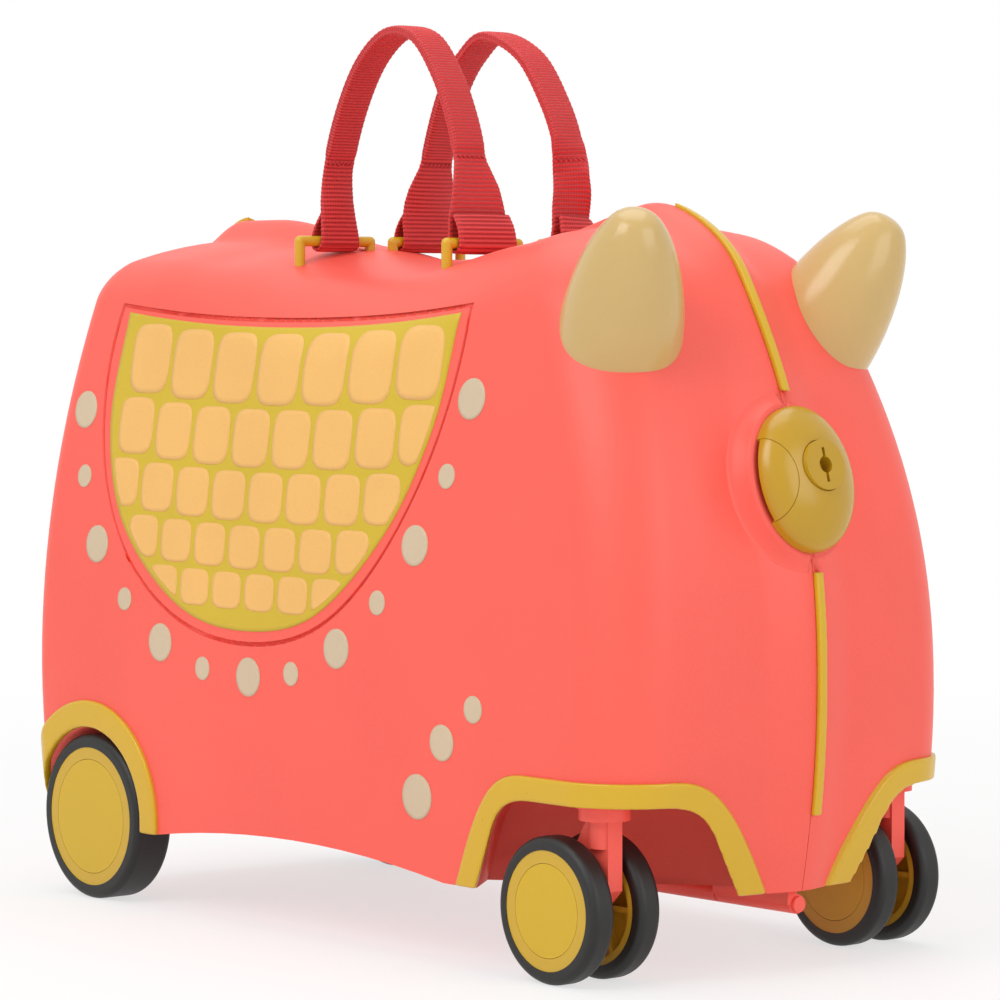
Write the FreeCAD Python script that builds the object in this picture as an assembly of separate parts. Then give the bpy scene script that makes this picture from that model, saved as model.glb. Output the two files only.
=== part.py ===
import FreeCAD, Part
import math
import os
from FreeCAD import Vector

# A child's ride-on suitcase: two hinged half shells with a saddle on top, horn
# grips, webbing handles, a catch with a lock at each end, two rear wheels and
# two swivelling twin-wheel casters.
# Frame: +X to the front, +Y to the left, +Z up, origin on the floor at the middle.

# Shell outline on the parting plane
front_reach = 228.5
front_belly_z = 125.0
front_lean = 66.0
front_lean_power = 2.2
front_tuck = 9.0
front_tuck_height = 90.0
rear_reach = 224.2
rear_belly_z = 125.0
rear_lean = 30.0
rear_tuck = 9.0
rear_tuck_height = 90.0
lean_height = 200.0
head_z = 333.5
head_x = 143.0
tail_z = 329.0
tail_x = -150.0
seat_z = 308.0
seat_x = -8.0
saddle_power = 1.4
head_round = 30.0
tail_round = 16.0
keel_z = -80.0
keel_round = 60.0

# Shell cross form
half_width = 102.0
widest_z = 95.0
side_barrel = 960.0
edge_round = 28.0
tail_edge_round = 15.0
tail_edge_run = 130.0
front_bow = 10.0
rear_bow = 3.0
roof_fall = 20.0
head_fall = 8.0
tail_fall = 15.0
spine_rise = 5.0
rear_spine_rise = 2.0
spine_half = 27.0
crown_spine_rise = 10.0
crown_spine_half = 19.0
crown_spine_start = 62.0
crown_spine_run = 56.0
dish_reach = 42.0
dish_deep = 3.0

# Shell walls and base
wall = 3.2
base_z = 36.0
base_arch_rise = 8.0
base_arch_half = 108.0
base_arch_x = -6.0
half_gap = 0.15
trim_proud = 2.2
trim_depth = 1.6
core_x = 0.0
core_z = 62.0

# Rear wheels
rear_axle_x = -167.4
rear_wheel_r = 39.9
rear_rim_r = 33.4
rear_cap_r = 27.5
rear_wheel_width = 21.0
rear_wheel_face_y = 102.4
rear_axle_r = 4.0
rear_arch_gap = 3.4
rear_arch_band = 13.0
rear_well_y = 80.4
rear_boss_r = 10.0
rear_boss_length = 15.0

# Front casters
caster_x = 187.5
caster_y = 84.5
caster_trail = 16.0
caster_wheel_r = 31.6
caster_rim_r = 25.7
caster_cap_r = 20.0
caster_wheel_width = 12.0
caster_pitch = 26.0
caster_axle_r = 2.5
fork_leg_thick = 8.0
fork_boss_r = 9.0
stem_r = 6.8
stem_top_z = 100.0
collar_r = 11.0
collar_height = 5.0
bush_wall = 3.0
bush_flange_r = 12.0
bush_flange_thick = 1.6
stem_boss_r = 14.0
retainer_groove_deep = 1.3
retainer_thick = 1.4
retainer_r = 9.6

# Front corner wells, each an arch that runs in from the corner
well_bearing = 50.3
well_mid_x = 160.5
well_mid_y = 56.5
well_foot_half = 58.0
well_foot_z = 33.0
well_knee_half = 51.0
well_knee_z = 56.0
well_roof_half = 28.0
well_roof_z = 77.0
well_bulge = 5.0
well_back = 16.0
well_ahead = 90.0
front_arch_band = 10.5

# Wheels, shared
tread_round = 3.4
cap_thick = 2.4
cap_seat_gap = 0.2
rim_lip = 3.2
rim_web = 3.0
rib_thick = 2.4
rib_count = 6

# Horn grips
horn_foot_x = 165.0
horn_foot_y = 57.0
horn_foot_z = 268.0
horn_axis_shares = (0.470, 0.260, 0.843)
horn_base_r = 27.0
horn_length = 68.0
horn_root = 34.0
horn_profile_shares = ((1.0, 0.0), (0.975, 0.25), (0.87, 0.5), (0.67, 0.75), (0.44, 0.915), (0.0, 1.0))
horn_boss_r = 7.0
horn_boss_root = 12.0
horn_screw_r = 2.0
horn_screw_head_r = 4.0
horn_screw_head = 2.6
horn_screw_bite = 45.0

# Catch at each end
catch_z = 212.0
catch_width = 52.0
catch_height = 64.0
catch_rise = 13.6
catch_base_thick = 2.4
catch_wall = 2.4
pad_deep = 12.0
pad_margin = 2.0
pocket_deep = 8.0
pocket_half = 18.0
barrel_r = 11.0
barrel_lift = 3.0
barrel_face = 7.0
barrel_proud = 0.8
barrel_shaft_r = 5.0
keyhole_r = 3.6
keyhole_deep = 6.0
key_slot_length = 15.0
key_slot_width = 1.6
key_slot_deep = 3.0
keeper_r = 2.0
keeper_reach = 11.0
keeper_root = 3.0
cam_thick = 3.0
cam_width = 3.0
cam_half_angle = 35.0
spoke_share = 0.8
button_reach = 14.0
button_round = 25.4
button_thick = 4.0
button_post_r = 2.6
button_post_y = 17.4
button_post_end = 6.5
spring_thick = 0.5
spring_width = 5.0
spring_half = 9.0
catch_screw_r = 1.6
catch_screw_head_r = 3.0
catch_screw_y = 14.0
catch_screw_z = 17.0
catch_screw_head = 1.6
catch_screw_length = 10.0

# Hinge under the parting plane
hinge_z = 30.0
hinge_rear_x = -212.0
hinge_front_x = 217.0
knuckle_count = 9
knuckle_r = 4.25
knuckle_gap = 0.6
hinge_pin_r = 2.0
hinge_head_r = 3.4
hinge_head = 1.4
hinge_web_y = 5.5

# Handles
handle_y = 28.0
handle_rear_x = -69.0
handle_front_x = 40.0
handle_top_z = 417.0
strap_width = 34.0
grip_width = 21.0
strap_thick = 2.4
strap_power = 1.7
strap_station_count = 15
tab_rise = 13.0
bar_r = 2.5
bar_length = 42.0
bar_lift = 6.0
bar_leg_deep = 11.0
bar_boss_r = 5.0
bar_boss_deep = 13.0

# Seam strips on the left half
strip_width = 4.5
strip_lower_z = 69.0
strip_upper_z = 173.0
strip_crown_z = 250.0
strip_head_x = 138.0
strip_tail_x = -176.0

# Panel outline sunk into each side
panel_rear_x = -165.0
panel_front_x = 99.0
panel_top_z = 288.0
panel_top_sag = 7.0
panel_low_z = 130.0
panel_groove = 2.2
panel_outline_shares = ((-1.0, 1.0), (-1.03, 0.62), (-0.88, 0.3), (-0.5, 0.06), (-0.08, 0.0), (0.34, 0.07),
                        (0.72, 0.34), (0.93, 0.66), (1.0, 1.0))

# Clearances
run_gap = 0.05
fit_gap = 0.3
overrun = 8.0

# Loft resolution: rings in planes along Y, closer towards the side, each in five parts between its corners
ring_part_counts = (8, 34, 40, 34, 8)
probe_count = 240
probe_halving_count = 22
halving_count = 34
station_shares = (0.0, 0.05, 0.1, 0.15, 0.2, 0.26, 0.34, 0.43, 0.53, 0.63, 0.71, 0.77, 0.818, 0.858, 0.895,
                  0.925, 0.949, 0.967, 0.9795, 0.988, 0.9935, 0.9967, 0.9985)

origin = Vector(0, 0, 0)
axis_x = Vector(1, 0, 0)
axis_y = Vector(0, 1, 0)
axis_z = Vector(0, 0, 1)


def front_line(z):
    """Centre-line x of the front at a height, and its slope."""
    lean = max(z - front_belly_z, 0) / lean_height
    tuck = max(front_belly_z - z, 0) / front_tuck_height
    x = front_reach - front_lean * lean ** front_lean_power - front_tuck * tuck ** 2
    slope = -front_lean * front_lean_power / lean_height * lean ** (front_lean_power - 1)
    return x, slope + 2 * front_tuck / front_tuck_height * tuck


def rear_line(z):
    """Centre-line x of the rear at a height, as a positive reach, and its slope."""
    lean = max(z - rear_belly_z, 0) / lean_height
    tuck = max(rear_belly_z - z, 0) / rear_tuck_height
    x = rear_reach - rear_lean * lean ** 2 - rear_tuck * tuck ** 2
    return x, -2 * rear_lean / lean_height * lean + 2 * rear_tuck / rear_tuck_height * tuck


def top_line(x):
    """Centre-line height of the saddle: a dip between the tail and the head."""
    crown, place = (head_z, head_x) if x >= seat_x else (tail_z, tail_x)
    way = min((x - seat_x) / (place - seat_x), 1)
    return seat_z + (crown - seat_z) * (0.5 - 0.5 * math.cos(math.pi * way)) ** saddle_power


def side_line(z):
    """Half width at a height: upright low down, leaning in above."""
    return half_width - max(z - widest_z, 0) ** 2 / (2 * side_barrel)


def hump(way):
    """One at the middle, falling smoothly to zero at a way of one."""
    return 0.5 + 0.5 * math.cos(math.pi * min(abs(way), 1))


def rounded(a, b, radius):
    """Depth inside two faces whose shared corner is rounded."""
    return max(min(a, b), radius) - math.hypot(max(radius - a, 0), max(radius - b, 0))


def depth(x, y, z):
    """Depth inside the right half body at a distance y from the parting plane."""
    side = side_line(z)
    t = y / side
    front, front_slope = front_line(z)
    rear, rear_slope = rear_line(z)
    spine = 1 - hump(y / spine_half)
    dish = dish_deep * hump((z - catch_z) / dish_reach) * hump((y - spine_half) / spine_half)
    fade = 1 - hump(max(abs(x - seat_x) - crown_spine_start, 0) / crown_spine_run)
    high_spine = crown_spine_rise * fade * (1 - hump(y / crown_spine_half))
    fall = roof_fall + ((head_fall if x > seat_x else tail_fall) - roof_fall) * fade
    edge = edge_round + (tail_edge_round - edge_round) * (1 - hump(max(seat_x - x, 0) / tail_edge_run))
    a = (front - x) / math.hypot(1, front_slope) - spine_rise * spine - dish - front_bow * t * t
    b = (rear + x) / math.hypot(1, rear_slope) - rear_spine_rise * spine - dish - rear_bow * t * t
    top = top_line(x) - z - high_spine - fall * t * t
    low = z - keel_z
    walls = min(rounded(a, top, head_round), rounded(b, top, tail_round),
                rounded(a, low, keel_round), rounded(b, low, keel_round))
    return rounded(walls, side - y, edge)


def ray_point(y, inset, turn, halvings):
    """Point (x, z) where a ray from the core leaves the body."""
    c, s = math.cos(turn), math.sin(turn)
    near, far = 0.0, front_reach + head_z
    for _ in range(halvings):
        mid = (near + far) / 2
        if depth(core_x + mid * c, y, core_z + mid * s) > inset:
            near = mid
        else:
            far = mid
    return core_x + near * c, core_z + near * s


def corner_marks(probe):
    """Where a ring starts, turns its four corners and ends, counted in probe rays."""
    xs, zs = [point[0] for point in probe], [point[1] for point in probe]
    wide, high = max(xs) - min(xs), max(zs) - min(zs)
    marks = [0]
    for ahead, up in ((1, -1), (1, 1), (-1, 1), (-1, -1)):
        far = [ahead * x / wide + up * z / high for x, z in probe]
        k = max(range(1, probe_count), key=far.__getitem__)
        bend = far[k - 1] - 2 * far[k] + far[k + 1]
        marks.append(k + (far[k - 1] - far[k + 1]) / (2 * bend) if bend else k)
    return marks + [probe_count]


def outline(y, inset):
    """Points (x, z) of one ring, spread by length between its corners, and the lengths between them."""
    step = 2 * math.pi / probe_count
    turns = [step * k - math.pi / 2 for k in range(probe_count + 1)]
    probe = [ray_point(y, inset, turn, probe_halving_count) for turn in turns]
    run = [0.0]
    for here, there in zip(probe, probe[1:]):
        run.append(run[-1] + math.dist(here, there))
    ends = []
    for mark in corner_marks(probe):
        k = min(int(mark), probe_count - 1)
        ends.append(run[k] + (run[k + 1] - run[k]) * (mark - k))
    points, k = [], 0
    for first, last, count in zip(ends, ends[1:], ring_part_counts):
        for n in range(count):
            target = first + (last - first) * n / count
            while run[k + 1] < target and k < probe_count - 1:
                k += 1
            share = (target - run[k]) / (run[k + 1] - run[k])
            points.append(ray_point(y, inset, turns[k] + share * step, halving_count))
    return points, [last - first for first, last in zip(ends, ends[1:])]


def ring_wire(points, knots):
    """A closed smooth wire."""
    curve = Part.BSplineCurve()
    curve.interpolate(Points=points, PeriodicFlag=True, Parameters=knots)
    return Part.Wire(curve.toShape())


def half_body(inset, lip):
    """Right half of the body, set in from the skin and started at y = lip.

    Every ring has the same knots, which follow the mean lengths between the corners.
    """
    rings, totals = [], [0] * len(ring_part_counts)
    for share in station_shares:
        y = share * (half_width - inset)
        at = -half_gap - y if share > 0 else lip
        points, lengths = outline(y, inset)
        rings.append([Vector(x, at, z) for x, z in points])
        totals = [total + length for total, length in zip(totals, lengths)]
    knots, start = [], 0.0
    for total, count in zip(totals, ring_part_counts):
        knots += [(start + total * n / count) / sum(totals) for n in range(count)]
        start += total
    return Part.makeLoft([ring_wire(ring, knots + [1.0]) for ring in rings], True, False)


def cylinder(radius, start, end):
    """A round bar between two points."""
    run = end - start
    return Part.makeCylinder(radius, run.Length, start, run)


def box(x0, x1, y0, y1, z0, z1):
    return Part.makeBox(x1 - x0, y1 - y0, z1 - z0, Vector(x0, y0, z0))


def mirrored(shape):
    """The same piece on the left side."""
    return shape.mirror(origin, axis_y)


def extrude(points, run):
    """A prism from a closed outline of points."""
    return Part.Face(Part.makePolygon(list(points) + [points[0]])).extrude(run)


def below_base(lift):
    """All that lies under the base, whose middle rises in a shallow arch."""
    reach = rear_reach + front_reach
    slab = box(-reach, reach, -half_width - overrun, overrun, keel_z - overrun, base_z + lift)
    radius = (base_arch_half ** 2 + base_arch_rise ** 2) / (2 * base_arch_rise)
    mid = Vector(base_arch_x, -half_width - overrun, base_z + lift + base_arch_rise - radius)
    arch = Part.makeCylinder(radius, half_width + 2 * overrun, mid, axis_y)
    return slab.fuse(arch)


def rear_well(band, back):
    """Round wheel house of a rear wheel, open at the side."""
    radius = rear_wheel_r + rear_arch_gap + band
    start = Vector(rear_axle_x, -rear_well_y + back, rear_wheel_r)
    return cylinder(radius, Vector(start.x, -half_width - 2 * overrun, start.z), start)


def front_well(band, back):
    """Arched wheel house of a caster, running in from the corner."""
    foot = well_foot_half + band
    knee = well_knee_half + band
    roof = well_roof_half + band / 2
    top = well_roof_z + band
    swell = Vector(-(knee + roof) / 2 - well_bulge, 0, (well_knee_z + top) / 2 + well_bulge)
    points = [Vector(-foot, 0, well_foot_z), Vector(-knee, 0, well_knee_z), swell, Vector(-roof, 0, top)]
    sides = []
    for way in (1, -1):
        curve = Part.BSplineCurve()
        curve.interpolate(Points=[Vector(way * p.x, 0, p.z) for p in points],
                          InitialTangent=Vector(way * (foot - knee), 0, well_knee_z - well_foot_z),
                          FinalTangent=Vector(way, 0, 0))
        sides.append(curve.toShape())
    feet = [Vector(-foot, 0, keel_z), Vector(foot, 0, keel_z)]
    ends = [Vector(-foot, 0, well_foot_z), Vector(foot, 0, well_foot_z)]
    edges = sides + [Part.makeLine(points[-1], Vector(roof, 0, top)), Part.makeLine(feet[0], ends[0]),
                     Part.makeLine(feet[1], ends[1]), Part.makeLine(*feet)]
    outline_wire = Part.Wire(Part.__sortEdges__(edges))
    solid = Part.Face(outline_wire).extrude(Vector(0, well_back + back + well_ahead, 0))
    solid.translate(Vector(0, -well_back - back, 0))
    solid.rotate(origin, axis_z, -90 - well_bearing)
    solid.translate(Vector(well_mid_x, -well_mid_y, 0))
    return solid


def panel_prism(band):
    """Shield outline of a side panel: sagging top edge, sides that meet in a round foot."""
    half = (panel_front_x - panel_rear_x) / 2 - band
    mid = (panel_front_x + panel_rear_x) / 2
    top = panel_top_z - band
    low = panel_low_z + band
    lower = [Vector(mid + half * sx, 0, low + (top - low) * sz) for sx, sz in panel_outline_shares]
    curve = Part.BSplineCurve()
    curve.interpolate(lower)
    dip = Part.Arc(lower[-1], Vector(mid, 0, top - panel_top_sag), lower[0])
    face = Part.Face(Part.Wire([curve.toShape(), dip.toShape()]))
    solid = face.extrude(Vector(0, -half_width, 0))
    solid.translate(Vector(0, -half_width / 2, 0))
    return solid


def wheel(radius, rim_r, cap_r, width, bore):
    """Rim, tyre and cap of a wheel on the Y axis, outer face towards -Y."""
    half = width / 2
    r = tread_round
    section = [Vector(rim_r, -half, 0), Vector(radius - r, -half, 0), Vector(radius, -half + r, 0),
               Vector(radius, half - r, 0), Vector(radius - r, half, 0), Vector(rim_r, half, 0)]
    bend = r * (1 - math.sqrt(0.5))
    edges = [Part.makeLine(section[0], section[1]),
             Part.Arc(section[1], Vector(radius - bend, -half + bend, 0), section[2]).toShape(),
             Part.makeLine(section[2], section[3]),
             Part.Arc(section[3], Vector(radius - bend, half - bend, 0), section[4]).toShape(),
             Part.makeLine(section[4], section[5]), Part.makeLine(section[5], section[0])]
    tyre = Part.Face(Part.Wire(edges)).revolve(origin, axis_y, 360)
    rim_half = half - fit_gap
    hub_r = bore + rim_web
    rim = cylinder(rim_r, Vector(0, -rim_half, 0), Vector(0, rim_half, 0))
    seat_y = -rim_half + cap_thick
    rim = rim.cut(cylinder(cap_r + cap_seat_gap, Vector(0, -rim_half - overrun, 0), Vector(0, seat_y, 0)))
    floor_y = seat_y + rim_web
    dish = cylinder(rim_r - rim_lip, Vector(0, floor_y, 0), Vector(0, rim_half + overrun, 0))
    dish = dish.cut(cylinder(hub_r, Vector(0, floor_y - overrun, 0), Vector(0, rim_half + 2 * overrun, 0)))
    for k in range(rib_count):
        rib = box(hub_r - rib_thick, rim_r, floor_y - overrun, rim_half - rib_thick / 2,
                  -rib_thick / 2, rib_thick / 2)
        rib.rotate(origin, axis_y, 360 * k / rib_count)
        dish = dish.cut(rib)
    rim = rim.cut(dish)
    rim = rim.cut(cylinder(bore, Vector(0, -half - overrun, 0), Vector(0, half + overrun, 0)))
    cap = cylinder(cap_r, Vector(0, seat_y, 0), Vector(0, -rim_half, 0))
    return rim, tyre, cap


def placed(shape, x, y, z):
    copy = shape.copy()
    copy.translate(Vector(x, y, z))
    return copy


# Horn grip, leaning outward and forward
horn_foot = Vector(horn_foot_x, -horn_foot_y, horn_foot_z)
horn_axis = Vector(horn_axis_shares[0], -horn_axis_shares[1], horn_axis_shares[2])
horn_axis.normalize()


def along_horn(h):
    return horn_foot + horn_axis * h


def horn_cone():
    """Rounded cone turned about the horn's axis."""
    points = [Vector(horn_base_r * r, 0, horn_length * h) for r, h in horn_profile_shares]
    curve = Part.BSplineCurve()
    curve.interpolate(Points=points, InitialTangent=Vector(0, 0, 1), FinalTangent=Vector(-1, 0, 0))
    base = Vector(horn_base_r, 0, -horn_root)
    root = Vector(0, 0, -horn_root)
    edges = [Part.makeLine(base, points[0]), curve.toShape(),
             Part.makeLine(points[-1], root), Part.makeLine(root, base)]
    solid = Part.Face(Part.Wire(edges)).revolve(origin, axis_z, 360)
    solid.Placement = FreeCAD.Placement(horn_foot, FreeCAD.Rotation(axis_z, horn_axis))
    return solid


# Catch frame: local X points out of the shell, Y along the part's Y, Z up the skin
def at_catch(shape, end):
    """Place a catch piece at the front (1) or the rear (-1)."""
    x, slope = front_line(catch_z) if end > 0 else rear_line(catch_z)
    copy = shape.copy()
    if end < 0:
        copy = copy.mirror(origin, axis_x)
    copy.rotate(origin, axis_y, end * math.degrees(math.atan(slope)))
    copy.translate(Vector(end * x, 0, catch_z))
    return copy


def oval(margin, start, end):
    """An oval plate of the catch's outline, grown by a margin."""
    ring = Part.Ellipse(origin, catch_height / 2 + margin, catch_width / 2 + margin)
    face = Part.Face(Part.Wire(ring.toShape()))
    face.rotate(origin, axis_y, -90)
    face.translate(Vector(start, 0, 0))
    return face.extrude(Vector(end - start, 0, 0))


def dome(skin):
    """Half egg over the catch's base plate, set in by a skin."""
    ball = Part.makeSphere(1, origin, axis_x)
    m = FreeCAD.Matrix()
    m.scale(Vector(catch_rise - skin, catch_width / 2 - skin, catch_height / 2 - skin))
    egg = ball.transformGeometry(m)
    egg.translate(Vector(catch_base_thick, 0, 0))
    size = catch_height + overrun
    floor = catch_base_thick if skin == 0 else -size
    return egg.common(box(floor, size, -size, size, -size, size))


def lens(gap, start):
    """Round prism whose inner side bounds the push button."""
    mid = -button_reach - button_round
    return cylinder(button_round - gap, Vector(start, mid, 0), Vector(catch_rise + 2 * overrun, mid, 0))


def catch_pieces():
    """Base, cover, button, spring, lock barrel, keeper and screws in the catch frame."""
    axis_low = Vector(-overrun, 0, barrel_lift)
    axis_high = Vector(catch_rise + 2 * overrun, 0, barrel_lift)
    base = oval(0, 0, catch_base_thick)
    base = base.cut(cylinder(barrel_shaft_r + run_gap, axis_low, axis_high))
    cover = dome(0).cut(dome(catch_wall))
    cover = cover.cut(cylinder(barrel_r + fit_gap, axis_low, axis_high)).cut(lens(0, -overrun))
    rim = oval(fit_gap, -overrun, overrun).cut(oval(-button_thick - 4 * fit_gap, -2 * overrun, 2 * overrun))
    base = base.cut(rim.common(lens(-fit_gap, -2 * overrun)))
    screws = []
    for side in (-1, 1):
        spot = Vector(0, catch_screw_y, side * catch_screw_z)
        tip = spot - axis_x * (catch_screw_length - catch_base_thick)
        head = spot + axis_x * catch_base_thick
        base = base.cut(cylinder(catch_screw_r, tip, head + axis_x * overrun))
        screws.append(cylinder(catch_screw_r, tip, head).fuse(
            cylinder(catch_screw_head_r, head, head + axis_x * catch_screw_head)).removeSplitter())
    top = catch_base_thick + catch_rise
    button = dome(0).cut(dome(button_thick)).common(lens(fit_gap, -overrun))
    spot = Vector(button_post_end, -button_post_y, 0)
    post = cylinder(button_post_r, spot, spot + axis_x * catch_rise).common(dome(catch_wall / 2))
    button = button.fuse(post.common(lens(fit_gap, -overrun))).removeSplitter()
    arch = button_post_end - catch_base_thick
    radius = (spring_half ** 2 + arch ** 2) / (2 * arch)
    mid = Vector(button_post_end - radius, -button_post_y, 0)
    across = axis_y * (spring_width / 2)
    hoop = cylinder(radius, mid - across, mid + across)
    hoop = hoop.cut(cylinder(radius - spring_thick, mid - across * 2, mid + across * 2))
    spring = hoop.common(box(catch_base_thick, top, -catch_width, catch_width, -catch_height, catch_height))
    face = top + barrel_proud
    barrel = cylinder(barrel_r, Vector(face - barrel_face, 0, 0), Vector(face, 0, 0))
    low = -pocket_deep + (pocket_deep - cam_thick) / 2
    barrel = barrel.fuse(cylinder(barrel_shaft_r, Vector(low, 0, 0), Vector(face - barrel_face, 0, 0)))
    inner = keeper_reach + keeper_r + fit_gap
    outer = inner + cam_width
    band = cylinder(outer, Vector(low, 0, 0), Vector(low + cam_thick, 0, 0))
    band = band.cut(cylinder(inner, Vector(low - overrun, 0, 0), Vector(low + cam_thick + overrun, 0, 0)))
    wedge_half = outer * 2 * math.sin(math.radians(cam_half_angle))
    wedge_run = outer * 2 * math.cos(math.radians(cam_half_angle))
    wedge = extrude([Vector(low - overrun, 0, 0), Vector(low - overrun, -wedge_half, wedge_run),
                     Vector(low - overrun, wedge_half, wedge_run)], axis_x * (cam_thick + 2 * overrun))
    spoke = box(low, low + cam_thick, -cam_width / 2, cam_width / 2, 0, outer - cam_width / 2)
    spoke.rotate(origin, axis_x, -cam_half_angle * spoke_share)
    barrel = barrel.fuse(band.common(wedge)).fuse(spoke)
    barrel = barrel.cut(cylinder(keyhole_r, Vector(face - keyhole_deep, 0, 0), Vector(face + overrun, 0, 0)))
    barrel = barrel.cut(box(face - key_slot_deep, face + overrun, -key_slot_width / 2, key_slot_width / 2,
                            -key_slot_length / 2, key_slot_length / 2)).removeSplitter()
    barrel.translate(Vector(0, 0, barrel_lift))
    keeper = cylinder(keeper_r, Vector(-pocket_deep - keeper_root, -keeper_reach, barrel_lift),
                      Vector(-2 * fit_gap, -keeper_reach, barrel_lift))
    return base, cover, button, spring, barrel, keeper, screws


catch_base, catch_cover, catch_button, catch_spring, catch_barrel, catch_keeper, catch_screws = catch_pieces()


def pad(side):
    """Flat seat under the catch on one half, with the cam's pocket (side -1 right, 1 left)."""
    top = -fit_gap if side < 0 else 0
    plate = oval(pad_margin, -pad_deep, top)
    size = catch_height
    return plate.common(box(-size, size, half_gap if side > 0 else -size, size if side > 0 else -half_gap,
                            -size, size))


def pocket():
    return cylinder(pocket_half, Vector(-pocket_deep, 0, barrel_lift), Vector(overrun, 0, barrel_lift))


# Hinge knuckles alternate between the halves
def knuckles(side):
    pitch = (hinge_front_x - hinge_rear_x) / knuckle_count
    group = []
    for k in range(knuckle_count):
        if (k % 2 == 0) != (side < 0):
            continue
        x0 = hinge_rear_x + pitch * k + knuckle_gap / 2
        x1 = x0 + pitch - knuckle_gap
        tube = cylinder(knuckle_r, Vector(x0, 0, hinge_z), Vector(x1, 0, hinge_z))
        y0, y1 = (-hinge_web_y, -half_gap) if side < 0 else (half_gap, hinge_web_y)
        web = box(x0, x1, y0, y1, hinge_z, base_z + base_arch_rise + wall / 2)
        group.append(tube.fuse(web))
    return group


def roof_z(x, y):
    """Height of the saddle's skin away from the spines."""
    return top_line(x) - roof_fall * (y / side_line(seat_z)) ** 2


# Handle parts for the right side
def handle_ends():
    """For each end: direction outward, tab plane, bar centre and disc plane."""
    ends = []
    for x, out in ((handle_rear_x, -1), (handle_front_x, 1)):
        bar_z = roof_z(x, handle_y) + bar_lift
        tab_x = x + out * (bar_r + fit_gap + strap_thick / 2)
        strap_x = tab_x - out * (strap_thick + fit_gap)
        ends.append((out, tab_x, x, bar_z, strap_x))
    return ends


def pivot_z():
    lowest = max(end[3] for end in handle_ends())
    return lowest + bar_r + strap_thick + 4 * fit_gap + strap_width / 2


def handle_strap():
    """Grip strap: a band that arches over, narrowing to the grip."""
    ends = handle_ends()
    rear, front = ends[0][4], ends[1][4]
    mid = (rear + front) / 2
    span = (front - rear) / 2
    low = pivot_z()
    rise = handle_top_z - strap_thick / 2 - low
    wires = []
    for k in range(strap_station_count):
        turn = math.pi * (1 - k / (strap_station_count - 1))
        c, s = math.cos(turn), math.sin(turn)
        x = mid + span * math.copysign(abs(c) ** (2 / strap_power), c)
        z = low + rise * s ** (2 / strap_power)
        way = s ** 2
        width = strap_width + (grip_width - strap_width) * way
        dx = -math.sin(turn) * (2 / strap_power) * abs(c) ** (2 / strap_power - 1) * span
        dz = math.cos(turn) * (2 / strap_power) * max(s, 0) ** (2 / strap_power - 1) * rise
        along = Vector(dx, 0, dz)
        if k in (0, strap_station_count - 1):
            along = Vector(0, 0, math.copysign(1, c))
        along.normalize()
        normal = Vector(along.z, 0, -along.x) * (strap_thick / 2)
        across = axis_y * (width / 2)
        at = Vector(x, -handle_y, z)
        corners = [at + normal + across, at + normal - across, at - normal - across, at - normal + across]
        wires.append(Part.makePolygon(corners + [corners[0]]))
    band = Part.makeLoft(wires, True, False)
    half = axis_x * (strap_thick / 2)
    for x in (rear, front):
        hub = Vector(x, -handle_y, low)
        band = band.fuse(cylinder(strap_width / 2, hub - half, hub + half))
    return band.removeSplitter()


def handle_tabs():
    """Sewn webbing loops round the anchor bars."""
    tabs = []
    for out, tab_x, x, bar_z, strap_x in handle_ends():
        half = strap_width / 2
        top = pivot_z() + tab_rise
        plate = box(tab_x - strap_thick / 2, tab_x + strap_thick / 2, -handle_y - half, -handle_y + half,
                    bar_z, top)
        a, b = Vector(x, -handle_y - half, bar_z), Vector(x, -handle_y + half, bar_z)
        loop = cylinder(bar_r + fit_gap + strap_thick, a, b).fuse(plate)
        reach = axis_y * overrun
        tabs.append(loop.cut(cylinder(bar_r + fit_gap, a - reach, b + reach)).removeSplitter())
    return tabs


def tab_grooves():
    """Room in the roof for the webbing that passes under the anchor bars."""
    grooves = []
    for out, tab_x, x, bar_z, strap_x in handle_ends():
        side = axis_y * (strap_width / 2 + fit_gap)
        at = Vector(x, -handle_y, bar_z)
        grooves.append(cylinder(bar_r + strap_thick + 2 * fit_gap, at - side, at + side))
    return grooves


def handle_bars():
    """Anchor staples: a bar along Y with two legs pressed into the roof."""
    bars, bosses = [], []
    for out, tab_x, x, bar_z, strap_x in handle_ends():
        ys = (-handle_y - bar_length / 2, -handle_y + bar_length / 2)
        a, b = Vector(x, ys[0], bar_z), Vector(x, ys[1], bar_z)
        staple = cylinder(bar_r, a, b)
        for p in (a, b):
            foot = p - axis_z * (bar_lift + bar_leg_deep)
            staple = staple.fuse(cylinder(bar_r, foot, p)).fuse(Part.makeSphere(bar_r, p))
            bosses.append(cylinder(bar_boss_r, p - axis_z * (bar_lift + bar_boss_deep), p))
        bars.append(staple.removeSplitter())
    return bars, bosses


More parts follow.
